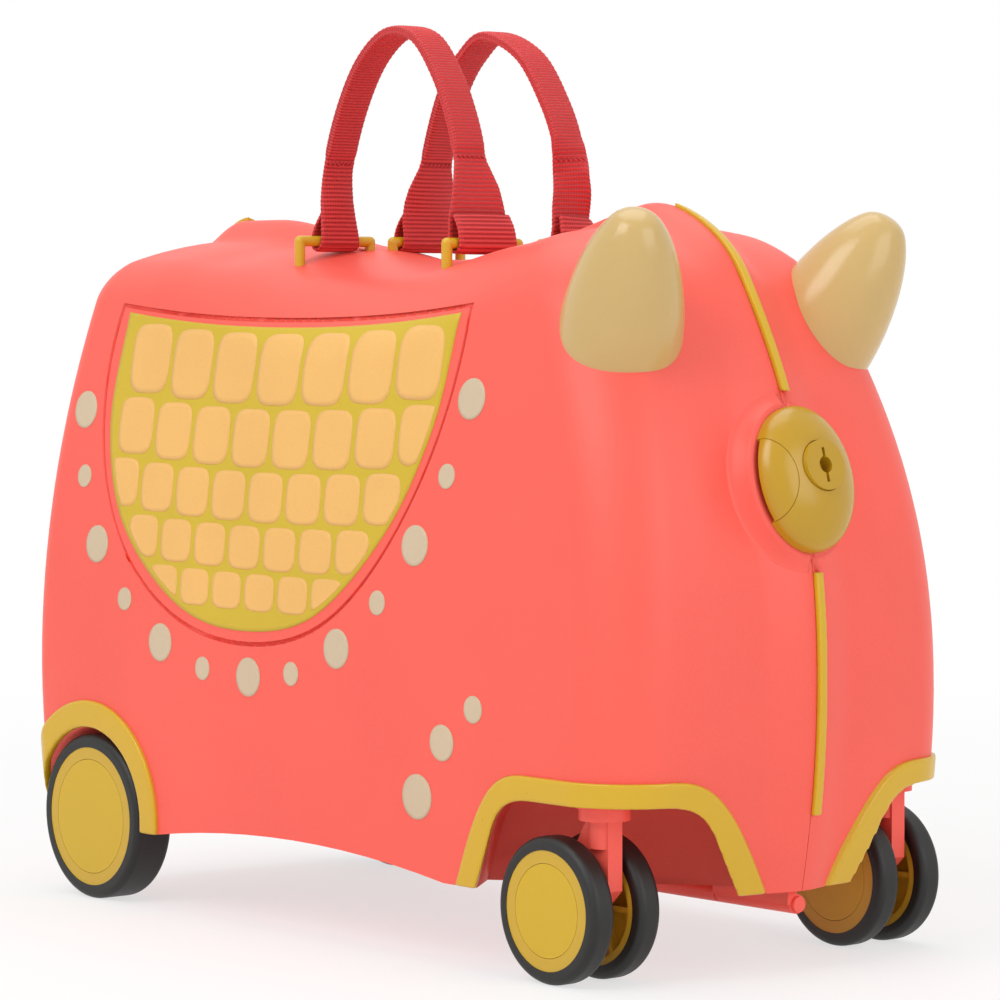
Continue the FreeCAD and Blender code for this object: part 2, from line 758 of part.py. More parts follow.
# Caster pieces with the stem at the origin of X and Y
def caster():
    half = fork_leg_thick / 2
    axle_z = caster_wheel_r
    bush_low = well_roof_z - bush_flange_thick
    collar_top = bush_low - run_gap
    shoulder = collar_top - collar_height
    leg = extrude([Vector(stem_r, -half, shoulder), Vector(stem_r, -half, axle_z + fork_boss_r),
                   Vector(-caster_trail + fork_boss_r, -half, axle_z - fork_boss_r / 2),
                   Vector(-caster_trail, -half, axle_z - fork_boss_r),
                   Vector(-caster_trail - fork_boss_r, -half, axle_z),
                   Vector(-caster_trail - fork_boss_r, -half, axle_z + fork_boss_r),
                   Vector(-stem_r, -half, shoulder)], axis_y * fork_leg_thick)
    boss_half = caster_pitch / 2 - caster_wheel_width / 2 + fit_gap - run_gap
    hub = Vector(-caster_trail, 0, axle_z)
    fork = leg.fuse(cylinder(fork_boss_r, hub - axis_y * boss_half, hub + axis_y * boss_half))
    fork = fork.fuse(cylinder(collar_r, Vector(0, 0, shoulder), Vector(0, 0, collar_top)))
    neck = well_knee_z + caster_axle_r
    fork = fork.fuse(cylinder(stem_r, Vector(0, 0, neck), Vector(0, 0, stem_top_z)))
    groove_z = stem_top_z - 2 * retainer_thick
    ring_hole = cylinder(stem_r - retainer_groove_deep, Vector(0, 0, groove_z - overrun),
                         Vector(0, 0, groove_z + overrun))
    slot = cylinder(retainer_r, Vector(0, 0, groove_z), Vector(0, 0, groove_z + retainer_thick)).cut(ring_hole)
    fork = fork.cut(slot)
    reach = axis_y * (caster_pitch / 2 + caster_wheel_width / 2 - fit_gap - cap_thick)
    fork = fork.cut(cylinder(caster_axle_r, hub - reach, hub + reach)).removeSplitter()
    axle = cylinder(caster_axle_r, hub - reach, hub + reach)
    bush = cylinder(stem_r + bush_wall, Vector(0, 0, bush_low), Vector(0, 0, groove_z))
    bush = bush.fuse(cylinder(bush_flange_r, Vector(0, 0, bush_low), Vector(0, 0, well_roof_z)))
    bush = bush.cut(cylinder(stem_r + run_gap, Vector(0, 0, bush_low - overrun),
                             Vector(0, 0, groove_z + overrun))).removeSplitter()
    return fork, axle, bush, slot, hub, groove_z


fork, caster_axle, bush, retainer, caster_hub, bush_top = caster()

# Half shell
skin = half_body(0, -half_gap)
skin_out = half_body(-trim_proud, -half_gap)
skin_in = half_body(trim_depth, overrun)
hollow = half_body(wall, overrun)


def in_layer(tool):
    """The part of a tool that lies in the trim layer on the right half's skin."""
    return tool.common(skin_out).cut([skin_in, below_base(0)])


stem_foot = Vector(caster_x, -caster_y, 0)
rear_hub = Vector(rear_axle_x, -rear_well_y, rear_wheel_r)
straps_bars, bar_bosses = handle_bars()
bosses = [rear_well(wall, wall), front_well(wall, wall), below_base(wall),
          cylinder(stem_boss_r, stem_foot, stem_foot + axis_z * bush_top),
          cylinder(rear_boss_r, rear_hub, rear_hub + axis_y * rear_boss_length),
          cylinder(horn_boss_r, along_horn(-horn_boss_root), along_horn(horn_length))] + bar_bosses
hollow = hollow.cut(bosses)
rear_arch = in_layer(rear_well(rear_arch_band, 0).cut(rear_well(0, overrun)))
front_arch = in_layer(front_well(front_arch_band, 0).cut(front_well(0, overrun)))
groove = in_layer(panel_prism(0).cut(panel_prism(panel_groove)))
horn = horn_cone().cut(skin)
horn_pilot = cylinder(horn_screw_r, along_horn(-horn_boss_root), along_horn(horn_screw_bite))
horn_screw_seat = along_horn(-horn_boss_root - horn_screw_head)
horn_screw = horn_pilot.fuse(cylinder(horn_screw_head_r, horn_screw_seat, along_horn(-horn_boss_root)))
horn_screw = horn_screw.removeSplitter()
horn = horn.cut(horn_pilot)
horn_hole = cylinder(horn_screw_r + fit_gap / 2, along_horn(-horn_boss_root - overrun), along_horn(horn_screw_bite))
stem_hole = cylinder(stem_r + bush_wall, stem_foot, stem_foot + axis_z * (bush_top + overrun))
axle_reach = axis_y * rear_boss_length
axle_hole = cylinder(rear_axle_r, rear_hub - axis_y * overrun, rear_hub + axle_reach)
plain_shell = skin.cut(below_base(0)).cut(hollow)
plain_shell = plain_shell.cut([rear_well(0, 0), front_well(0, 0), rear_arch, front_arch, groove, horn_hole,
                               stem_hole, axle_hole] + straps_bars + tab_grooves())


def half_shell(side):
    """One shell with its catch seats and knuckles: side -1 is the right one, 1 the left one."""
    ends = (1, -1)
    pads = [at_catch(pad(side), end) for end in ends]
    shell = (plain_shell if side < 0 else mirrored(plain_shell)).fuse(pads + knuckles(side))
    cuts = [at_catch(pocket(), end) for end in ends]
    pin_end = axis_x * (hinge_front_x + front_reach)
    cuts.append(cylinder(hinge_pin_r + run_gap, Vector(0, 0, hinge_z) - pin_end, Vector(0, 0, hinge_z) + pin_end))
    if side < 0:
        cuts += [at_catch(catch_keeper, end) for end in ends]
    else:
        cuts += [at_catch(screw, end) for end in ends for screw in catch_screws]
        cuts += strips["front_seam_strips"] + strips["rear_seam_strips"]
    return shell.cut(cuts)


def strip_piece(x0, x1, z0, z1):
    """A seam strip: part of the left skin's layer next to the parting plane."""
    return mirrored(in_layer(box(x0, x1, -half_gap - strip_width, -half_gap, z0, z1)))


far = front_reach + overrun
high = head_z + overrun
strips = {"front_seam_strips": [strip_piece(strip_head_x, far, strip_crown_z, high),
                                strip_piece(0, far, strip_lower_z, strip_upper_z)],
          "rear_seam_strips": [strip_piece(-far, strip_tail_x, strip_crown_z, high),
                               strip_piece(-far, 0, strip_lower_z, strip_upper_z)]}

nodes = {}
for name, side in (("right", -1), ("left", 1)):
    def on(shape):
        return shape if side < 0 else mirrored(shape)

    nodes[name + "_shell"] = [half_shell(side)]
    nodes[name + "_rear_arch_trim"] = [on(rear_arch)]
    nodes[name + "_front_arch_trim"] = [on(front_arch)]
    nodes[name + "_horn_grip"] = [on(horn)]
    nodes[name + "_horn_screw"] = [on(horn_screw)]
    nodes[name + "_handle_strap"] = [on(handle_strap())]
    nodes[name + "_handle_tabs"] = [on(tab) for tab in handle_tabs()]
    nodes[name + "_handle_bars"] = [on(bar) for bar in straps_bars]
    rim, tyre, cap = wheel(rear_wheel_r, rear_rim_r, rear_cap_r, rear_wheel_width, rear_axle_r + run_gap)
    spot = (rear_axle_x, -rear_wheel_face_y + rear_wheel_width / 2, rear_wheel_r)
    for piece, shape in (("rim", rim), ("tyre", tyre), ("cap", cap)):
        nodes[name + "_rear_" + piece] = [on(placed(shape, *spot))]
    axle_end = Vector(rear_axle_x, -rear_wheel_face_y + fit_gap + cap_thick, rear_wheel_r)
    nodes[name + "_rear_axle"] = [on(cylinder(rear_axle_r, axle_end, rear_hub + axle_reach))]
    nodes[name + "_caster_fork"] = [on(placed(fork, caster_x, -caster_y, 0))]
    nodes[name + "_caster_axle"] = [on(placed(caster_axle, caster_x, -caster_y, 0))]
    nodes[name + "_caster_bush"] = [on(placed(bush, caster_x, -caster_y, 0))]
    nodes[name + "_caster_retainer"] = [on(placed(retainer, caster_x, -caster_y, 0))]
    rim, tyre, cap = wheel(caster_wheel_r, caster_rim_r, caster_cap_r, caster_wheel_width,
                           caster_axle_r + run_gap)
    for place, flip in (("outer", False), ("inner", True)):
        offset = caster_pitch / 2 if flip else -caster_pitch / 2
        for piece, shape in (("rim", rim), ("tyre", tyre), ("cap", cap)):
            turned = mirrored(shape) if flip else shape
            spot = (caster_x + caster_hub.x, -caster_y + offset, caster_hub.z)
            nodes[name + "_caster_" + place + "_" + piece] = [on(placed(turned, *spot))]
nodes.update(strips)
for name, end in (("front", 1), ("rear", -1)):
    nodes[name + "_catch_base"] = [at_catch(catch_base, end)]
    nodes[name + "_catch_cover"] = [at_catch(catch_cover, end)]
    nodes[name + "_catch_button"] = [at_catch(catch_button, end)]
    nodes[name + "_catch_spring"] = [at_catch(catch_spring, end)]
    nodes[name + "_lock_barrel"] = [at_catch(catch_barrel, end)]
nodes["catch_keepers"] = [at_catch(catch_keeper, end) for end in (1, -1)]
nodes["catch_screws"] = [at_catch(screw, end) for end in (1, -1) for screw in catch_screws]
pin_rear = Vector(hinge_rear_x, 0, hinge_z)
pin_front = Vector(hinge_front_x, 0, hinge_z)
hinge_pin = cylinder(hinge_pin_r, pin_rear - axis_x * hinge_head, pin_front + axis_x * hinge_head)
for end, at in ((-1, pin_rear), (1, pin_front)):
    hinge_pin = hinge_pin.fuse(cylinder(hinge_head_r, at, at + axis_x * (end * hinge_head)))
nodes["hinge_pin"] = [hinge_pin.removeSplitter()]

os.makedirs("parts", exist_ok=True)
for name, shapes in nodes.items():
    solids = [solid for shape in shapes for solid in shape.Solids]
    shape = solids[0] if len(solids) == 1 else Part.Compound(solids)
    shape.exportStep("parts/" + name + ".step")
    print(name, len(solids), round(sum(s.Volume for s in solids)), all(s.isValid() for s in solids))
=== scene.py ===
"""Looks of a child's ride-on suitcase: finishes for its solids, side panels, webbing and studio."""
import logging
import math
from dataclasses import dataclass
from enum import Enum
from typing import Any, Callable, Optional

import bmesh
import bpy
import numpy as np
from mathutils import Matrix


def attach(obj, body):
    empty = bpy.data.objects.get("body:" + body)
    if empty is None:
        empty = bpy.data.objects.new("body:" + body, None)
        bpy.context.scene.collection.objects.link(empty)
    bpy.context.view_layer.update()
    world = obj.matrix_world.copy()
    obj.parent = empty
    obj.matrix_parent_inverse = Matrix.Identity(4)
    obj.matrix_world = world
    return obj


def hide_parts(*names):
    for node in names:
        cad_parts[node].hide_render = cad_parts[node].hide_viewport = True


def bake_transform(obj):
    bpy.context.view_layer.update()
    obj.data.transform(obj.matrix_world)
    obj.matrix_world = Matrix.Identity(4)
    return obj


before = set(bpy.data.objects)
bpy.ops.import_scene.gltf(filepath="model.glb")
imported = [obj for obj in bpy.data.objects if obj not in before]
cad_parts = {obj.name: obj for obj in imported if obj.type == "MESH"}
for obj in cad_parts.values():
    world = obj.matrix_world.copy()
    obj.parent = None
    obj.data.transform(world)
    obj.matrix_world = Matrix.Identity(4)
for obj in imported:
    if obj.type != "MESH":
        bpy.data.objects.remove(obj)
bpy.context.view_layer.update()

MM = 0.001
MERGE_M = 1e-6
NODES: dict[str, bpy.types.Object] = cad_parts
log = logging.getLogger("ride_on_case")


class Side(Enum):
    """The two halves of the case; the value is the sign of Y."""

    RIGHT = -1
    LEFT = 1

    @property
    def word(self) -> str:
        """The side's name as the solids use it."""
        return self.name.lower()


def linear(colour: str) -> tuple[float, float, float, float]:
    """Turns an sRGB hex colour into linear light.

    Args:
        colour: six hex digits, with or without a leading hash.

    Returns:
        Red, green, blue and an alpha of one.
    """
    digits = colour.lstrip("#")
    parts = np.array([int(digits[k:k + 2], 16) for k in (0, 2, 4)]) / 255
    light = np.where(parts <= 0.04045, parts / 12.92, ((parts + 0.055) / 1.055) ** 2.4)
    return float(light[0]), float(light[1]), float(light[2]), 1.0


def add_node(tree: bpy.types.NodeTree, kind: str, sockets: Optional[dict[Any, Any]] = None,
             **settings: Any) -> bpy.types.Node:
    """Adds one shader node, sets it and links it.

    Args:
        tree: the material's node tree.
        kind: Blender's name for the node, without its prefix.
        sockets: input name or number to a value, or to the output socket that feeds it.
        settings: properties of the node itself.

    Returns:
        The new node.
    """
    node = tree.nodes.new("ShaderNode" + kind)
    for key, value in settings.items():
        setattr(node, key, value)
    for key, value in (sockets or {}).items():
        if isinstance(value, bpy.types.NodeSocket):
            tree.links.new(value, node.inputs[key])
        else:
            node.inputs[key].default_value = value
    return node


def math_node(tree: bpy.types.NodeTree, operation: str, *values: Any) -> bpy.types.NodeSocket:
    """Adds one step of arithmetic on numbers or sockets and gives its output."""
    return add_node(tree, "Math", dict(enumerate(values)), operation=operation).outputs[0]


def noise(tree: bpy.types.NodeTree, size_mm: float, **sockets: float) -> bpy.types.NodeSocket:
    """Adds noise of a set size in the piece's own frame and gives its output."""
    place = add_node(tree, "TexCoord").outputs["Object"]
    return add_node(tree, "TexNoise", {"Vector": place, "Scale": 1 / (size_mm * MM), **sockets}).outputs["Fac"]


def vary(tree: bpy.types.NodeTree, value: bpy.types.NodeSocket, middle: float, swing: float) -> bpy.types.NodeSocket:
    """Maps a value from nought to one onto a middle, give or take a swing, and gives the output."""
    return add_node(tree, "MapRange", {"Value": value, "To Min": middle - swing, "To Max": middle + swing}).outputs[0]


def link(name: str, mesh: bpy.types.Mesh, material: bpy.types.Material) -> bpy.types.Object:
    """Puts a mesh with one finish into the scene and gives the new object."""
    mesh.materials.clear()
    mesh.materials.append(material)
    piece = bpy.data.objects.new(name, mesh)
    bpy.context.scene.collection.objects.link(piece)
    return piece


def quads(shape: tuple[int, ...], wrap: bool) -> np.ndarray:
    """Corner numbers of the faces of one or more grids of points.

    Args:
        shape: number of grids, rows and columns.
        wrap: whether the last column joins the first one.

    Returns:
        One row of four corner numbers per face.
    """
    count, rows, columns = shape
    number = np.arange(count * rows * columns).reshape(shape)
    if wrap:
        number = np.concatenate([number, number[:, :, :1]], axis=2)
    corners = (number[:, :-1, :-1], number[:, :-1, 1:], number[:, 1:, 1:], number[:, 1:, :-1])
    return np.stack(corners, axis=-1).reshape(-1, 4)


def halve(within: Callable[[np.ndarray], np.ndarray], near: np.ndarray, far: np.ndarray, times: int) -> np.ndarray:
    """Closes in on an edge by halving.

    Args:
        within: tells which of an array of values lie on the near side of the edge.
        near: values on the near side.
        far: values on the far side.
        times: number of halvings.

    Returns:
        The last values found on the near side.
    """
    for _ in range(times):
        mid = (near + far) / 2
        hold = within(mid)
        near, far = np.where(hold, mid, near), np.where(hold, far, mid)
    return near


def surface(name: str, points: np.ndarray, material: bpy.types.Material, wrap: bool = False,
            uv: Optional[np.ndarray] = None, flip: bool = False) -> bpy.types.Object:
    """Makes a mesh object from grids of points in millimetres.

    Args:
        name: name of the piece.
        points: array of grids, rows, columns and three coordinates.
        material: finish of the piece.
        wrap: whether columns close on themselves.
        uv: two numbers per point, kept as the piece's UV map.
        flip: whether the faces are turned round, so that they point outwards.

    Returns:
        The linked object, smooth shaded, with coincident points merged.
    """
    faces = quads(points.shape[:3], wrap)
    if flip:
        faces = faces[:, ::-1]
    mesh = bpy.data.meshes.new(name)
    mesh.from_pydata((points.reshape(-1, 3) * MM).tolist(), [], faces.tolist())
    if uv is not None:
        layer = mesh.uv_layers.new(name="UVMap")
        corner = np.empty(len(mesh.loops), dtype=np.int32)
        mesh.loops.foreach_get("vertex_index", corner)
        layer.data.foreach_set("uv", uv.reshape(-1, 2)[corner].astype(np.float32).ravel())
    mesh.shade_smooth()
    piece = link(name, mesh, material)
    weld = piece.modifiers.new("weld", "WELD")
    weld.merge_threshold = MERGE_M
    return piece


def on_body(piece: bpy.types.Object, body: str) -> bpy.types.Object:
    """Makes a piece ride on a body, and reports it.

    Args:
        piece: the finished piece.
        body: the body that carries it.

    Returns:
        The same piece.
    """
    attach(piece, body)
    log.info("%s rides on %s", piece.name, body)
    return piece


def new_material(name: str) -> tuple[bpy.types.Material, bpy.types.NodeTree, bpy.types.Node]:
    """Starts a material and gives it with its node tree and its shader node."""
    material = bpy.data.materials.new(name)
    material.use_nodes = True
    return material, material.node_tree, material.node_tree.nodes["Principled BSDF"]


@dataclass(frozen=True)
class MouldedPlastic:
    """A moulded plastic: a plain colour with a fine grain from the tool's surface."""

    name: str
    colour: str
    roughness: float
    grain_mm: float
    grain_depth_mm: float
    mottle: float = 0.04
    ior: float = 1.49
    cloud_mm: float = 60.0
    gloss_swing: float = 0.06

    def build(self) -> bpy.types.Material:
        """Builds grain as noise of a set size, in the colour, the gloss and the bump."""
        material, tree, shader = new_material(self.name)
        grain = noise(tree, self.grain_mm, Detail=3.0, Roughness=0.6)
        both = math_node(tree, "ADD", grain, noise(tree, self.cloud_mm, Detail=2.0))
        shade = add_node(tree, "MapRange", {"Value": both, "From Min": 0.6, "From Max": 1.4,
                                            "To Min": 1 - self.mottle, "To Max": 1 + self.mottle})
        value = add_node(tree, "HueSaturation", {"Color": linear(self.colour), "Value": shade.outputs[0]})
        bump = add_node(tree, "Bump", {"Height": grain, "Strength": 0.5, "Distance": self.grain_depth_mm * MM})
        gloss = vary(tree, grain, self.roughness, self.gloss_swing)
        tree.links.new(value.outputs["Color"], shader.inputs["Base Color"])
        tree.links.new(gloss, shader.inputs["Roughness"])
        tree.links.new(bump.outputs["Normal"], shader.inputs["Normal"])
        shader.inputs["IOR"].default_value = self.ior
        return material


@dataclass(frozen=True)
class RibbedWebbing:
    """Woven nylon webbing: thick ribs across it, fine threads along it, and painted shade that darkens it between the
    threads.
    """

    name: str
    colour: str
    # Colour of the painted shade in the hollows between ribs and threads.
    shadow: str
    rib_share: float = 0.72
    thread_share: float = 0.28
    fibre_share: float = 0.3
    fibre_mm: float = 0.9
    relief_mm: float = 0.35
    roughness: float = 0.62
    sheen: float = 0.08
    sheen_roughness: float = 0.5

    def build(self) -> bpy.types.Material:
        """Builds sine waves on the piece's UV map, which counts threads across and ribs along."""
        material, tree, shader = new_material(self.name)
        split = add_node(tree, "SeparateXYZ", {"Vector": add_node(tree, "TexCoord").outputs["UV"]})
        waves = []
        for axis in ("X", "Y"):
            wave = math_node(tree, "SINE", math_node(tree, "MULTIPLY", split.outputs[axis], 2 * math.pi))
            waves.append(add_node(tree, "MapRange", {"Value": wave, "From Min": -1.0}).outputs[0])
        fibre = noise(tree, self.fibre_mm, Detail=2.0)
        height = math_node(tree, "MULTIPLY_ADD", waves[1], self.rib_share, 0.0)
        height = math_node(tree, "MULTIPLY_ADD", waves[0], self.thread_share, height)
        rough = math_node(tree, "MULTIPLY_ADD", fibre, self.fibre_share, height)
        # Painted shade: the colour falls from the webbing's red to the shadow colour where ribs and threads dip, with
        # random fibre tone mixed in.
        tone = add_node(tree, "MapRange", {"Value": rough, "From Min": 0.1, "From Max": 0.85})
        # Inputs 6 and 7 and output 2 are the node's sockets for colours.
        colour = add_node(tree, "Mix", {"Factor": tone.outputs[0], 6: linear(self.shadow), 7: linear(self.colour)},
                          data_type="RGBA")
        bump = add_node(tree, "Bump", {"Height": rough, "Strength": 0.6, "Distance": self.relief_mm * MM})
        tree.links.new(colour.outputs[2], shader.inputs["Base Color"])
        tree.links.new(bump.outputs["Normal"], shader.inputs["Normal"])
        shader.inputs["Roughness"].default_value = self.roughness
        shader.inputs["Sheen Weight"].default_value = self.sheen
        shader.inputs["Sheen Roughness"].default_value = self.sheen_roughness
        return material


@dataclass(frozen=True)
class DrawnSteel:
    """Drawn steel: a grey metal whose gloss varies softly along it."""

    name: str
    colour: str
    roughness: float
    streak_mm: float = 4.0
    gloss_swing: float = 0.08

    def build(self) -> bpy.types.Material:
        """Builds a metal with slow noise in its roughness."""
        material, tree, shader = new_material(self.name)
        gloss = vary(tree, noise(tree, self.streak_mm), self.roughness, self.gloss_swing)
        tree.links.new(gloss, shader.inputs["Roughness"])
        shader.inputs["Base Color"].default_value = linear(self.colour)
        shader.inputs["Metallic"].default_value = 1.0
        return material


class Finishes:
    """Every finish of the case, built once."""

    def __init__(self) -> None:
        """Builds the materials; a plastic's numbers are its roughness, its grain's size and depth, and its mottle."""
        # Moulded polypropylene with a spark-eroded matt texture: satin, with a fine sparkle of grain.
        self.shell = MouldedPlastic("polypropylene_satin_coral", "#F85E50", 0.46, 1.1, 0.05, 0.05).build()
        # Glossy moulded ABS: soft highlights and a faint orange peel.
        self.trim = MouldedPlastic("abs_gloss_mustard", "#D5AB1E", 0.3, 3.0, 0.006, 0.008).build()
        # Soft-touch moulded elastomer, polished: broad clear highlights on cream.
        self.grip = MouldedPlastic("elastomer_cream", "#CBAB6C", 0.22, 2.4, 0.01, 0.015).build()
        # Wheel hubs and caps in moulded nylon: less gloss than the trim.
        self.hub = MouldedPlastic("nylon_hub_mustard", "#CDA62C", 0.4, 1.6, 0.02, 0.02).build()
        self.cap = MouldedPlastic("nylon_cap_yellow", "#D2AC18", 0.38, 1.4, 0.02, 0.02).build()
        # Injection-moulded polyurethane tread: nearly black, a soft broad sheen.
        self.tyre = MouldedPlastic("polyurethane_tyre_black", "#171615", 0.5, 1.8, 0.03, 0.06).build()
        # In-mould printed film on the side panels: the same grain as the shell.
        self.film = MouldedPlastic("printed_film_mustard", "#D0B124", 0.5, 1.1, 0.04, 0.05).build()
        self.peach = MouldedPlastic("printed_film_peach", "#EDB766", 0.5, 1.1, 0.04, 0.05).build()
        self.beige = MouldedPlastic("printed_film_beige", "#CFBA9C", 0.5, 1.1, 0.04, 0.05).build()
        # Woven nylon webbing, ribbed across, with painted shade in the hollows of its weave.
        self.webbing = RibbedWebbing("nylon_webbing_red", "#DA3435", "#8C161B").build()
        self.thread = MouldedPlastic("polyester_thread_red", "#B3262C", 0.6, 0.6, 0.05, 0.12).build()
        # Catches in the same gloss plastic as the trims, a tone deeper as painted shade, since they face away from the
        # light.
        self.catch = MouldedPlastic("abs_gloss_ochre", "#BD931A", 0.24, 3.0, 0.006, 0.008).build()
        # Drawn steel wire and pins, mostly hidden.
        self.steel = DrawnSteel("drawn_steel", "#A3A19D", 0.32).build()

    def dress(self) -> None:
        """Gives every solid the finish of what it is made of."""
        table = (("shell", self.shell), ("trim", self.trim), ("seam_strips", self.trim), ("horn_grip", self.grip),
                 ("tyre", self.tyre), ("_rim", self.hub), ("_cap", self.cap), ("fork", self.shell),
                 ("bush", self.shell), ("hinge_pin", self.shell), ("catch_base", self.catch),
                 ("catch_cover", self.catch), ("catch_button", self.catch), ("lock_barrel", self.catch),
                 ("handle_bars", self.trim), ("strap", self.webbing), ("tabs", self.webbing))
        for name, node in NODES.items():
            found = [material for key, material in table if key in name]
            node.data.materials.clear()
            node.data.materials.append(found[0] if found else self.steel)


@dataclass(frozen=True)
class ShellForm:
    """The shell's skin as the depth formula of the solids, in millimetres.

    Its places are x along the case, y out from the half's own edge and z up.
    """

    half_gap: float = 0.15
    front_reach: float = 228.5
    rear_reach: float = 224.2
    belly_z: float = 125.0
    lean_height: float = 200.0
    front_lean: float = 66.0
    front_power: float = 2.2
    rear_lean: float = 30.0
    tuck: float = 9.0
    tuck_height: float = 90.0
    head: tuple[float, float] = (143.0, 333.5)
    tail: tuple[float, float] = (-150.0, 329.0)
    seat: tuple[float, float] = (-8.0, 308.0)
    saddle_power: float = 1.4
    head_round: float = 30.0
    tail_round: float = 16.0
    half_width: float = 102.0
    widest_z: float = 95.0
    barrel: float = 960.0
    edge_round: float = 28.0
    tail_edge_round: float = 15.0
    tail_edge_run: float = 130.0
    front_bow: float = 10.0
    rear_bow: float = 3.0
    roof_fall: float = 20.0
    head_fall: float = 8.0
    tail_fall: float = 15.0
    spine_rise: float = 5.0
    rear_spine_rise: float = 2.0
    spine_half: float = 27.0
    crown_rise: float = 10.0
    crown_half: float = 19.0
    crown_start: float = 62.0
    crown_run: float = 56.0
    catch_z: float = 212.0
    dish_reach: float = 42.0
    dish_deep: float = 3.0
    search_from: float = 30.0
    search_past: float = 6.0
    halvings: int = 30

    @staticmethod
    def hump(way: np.ndarray) -> np.ndarray:
        """One at the middle, falling as a cosine to zero at a way of one."""
        return 0.5 + 0.5 * np.cos(np.pi * np.minimum(np.abs(way), 1))

    @staticmethod
    def rounded(a: np.ndarray, b: np.ndarray, radius: float | np.ndarray) -> np.ndarray:
        """Depth inside two faces whose shared corner is rounded."""
        return np.maximum(np.minimum(a, b), radius) - np.hypot(np.maximum(radius - a, 0), np.maximum(radius - b, 0))

    def side_line(self, z: np.ndarray) -> np.ndarray:
        """Half width of the case at a height."""
        return self.half_width - np.maximum(z - self.widest_z, 0) ** 2 / (2 * self.barrel)

    def top_line(self, x: np.ndarray) -> np.ndarray:
        """Height of the saddle: half a cosine wave from the seat to the head or the tail."""
        ahead = x >= self.seat[0]
        place = np.where(ahead, self.head[0], self.tail[0])
        crown = np.where(ahead, self.head[1], self.tail[1])
        way = np.clip((x - self.seat[0]) / (place - self.seat[0]), 0, 1)
        return self.seat[1] + (crown - self.seat[1]) * (0.5 - 0.5 * np.cos(np.pi * way)) ** self.saddle_power

    def depth(self, x: np.ndarray, y: np.ndarray, z: np.ndarray) -> np.ndarray:
        """Depth inside the skin: front, rear, roof and side, each bowed, with rounded edges between them.

        Returns:
            The depth at each place, less than zero outside.
        """
        side = self.side_line(z)
        t = y / side
        lean = np.maximum(z - self.belly_z, 0) / self.lean_height
        tuck = np.maximum(self.belly_z - z, 0) / self.tuck_height
        front = self.front_reach - self.front_lean * lean ** self.front_power - self.tuck * tuck ** 2
        rear = self.rear_reach - self.rear_lean * lean ** 2 - self.tuck * tuck ** 2
        fold = 2 * self.tuck / self.tuck_height * tuck
        front_slope = fold - self.front_lean * self.front_power / self.lean_height * lean ** (self.front_power - 1)
        rear_slope = fold - 2 * self.rear_lean / self.lean_height * lean
        spine = 1 - self.hump(y / self.spine_half)
        dish = self.dish_deep * self.hump((z - self.catch_z) / self.dish_reach)
        dish = dish * self.hump((y - self.spine_half) / self.spine_half)
        fade = 1 - self.hump(np.maximum(np.abs(x - self.seat[0]) - self.crown_start, 0) / self.crown_run)
        crest = self.crown_rise * fade * (1 - self.hump(y / self.crown_half))
        fall = self.roof_fall + (np.where(x > self.seat[0], self.head_fall, self.tail_fall) - self.roof_fall) * fade
        back = 1 - self.hump(np.maximum(self.seat[0] - x, 0) / self.tail_edge_run)
        edge = self.edge_round + (self.tail_edge_round - self.edge_round) * back
        ahead = (front - x) / np.hypot(1, front_slope) - self.spine_rise * spine - dish - self.front_bow * t * t
        behind = (rear + x) / np.hypot(1, rear_slope) - self.rear_spine_rise * spine - dish - self.rear_bow * t * t
        above = self.top_line(x) - z - crest - fall * t * t
        walls = np.minimum(self.rounded(ahead, above, self.head_round), self.rounded(behind, above, self.tail_round))
        return self.rounded(walls, side - y, edge)

    def slope(self, x: np.ndarray, y: np.ndarray, z: np.ndarray, step: float = 0.05) -> np.ndarray:
        """Gradient of the depth by central differences of twice a step; it points into the body.

        Returns:
            The gradient, with a last axis of three.
        """
        way = [(self.depth(x + a, y + b, z + c) - self.depth(x - a, y - b, z - c)) / (2 * step)
               for a, b, c in ((step, 0, 0), (0, step, 0), (0, 0, step))]
        return np.stack(way, axis=-1)

    def side_point(self, x: np.ndarray, z: np.ndarray, lift: np.ndarray, side: Side) -> np.ndarray:
        """Points on the side of the skin, found by halving along Y.

        Args:
            x: places along the case.
            z: heights.
            lift: how far the points stand off the skin.
            side: which half.

        Returns:
            Points with a last axis of three.
        """
        near, far = np.full_like(x, self.search_from), np.full_like(x, self.half_width + self.search_past)
        y = halve(lambda way: self.depth(x, way, z) > -lift, near, far, self.halvings)
        return np.stack([x, side.value * (y + self.half_gap), z], axis=-1)


def merged_copy(node: str) -> bpy.types.Mesh:
    """Copies a solid's mesh and merges its coincident points."""
    mesh = NODES[node].data.copy()
    work = bmesh.new()
    work.from_mesh(mesh)
    bmesh.ops.remove_doubles(work, verts=work.verts, dist=MERGE_M)
    work.to_mesh(mesh)
    work.free()
    return mesh


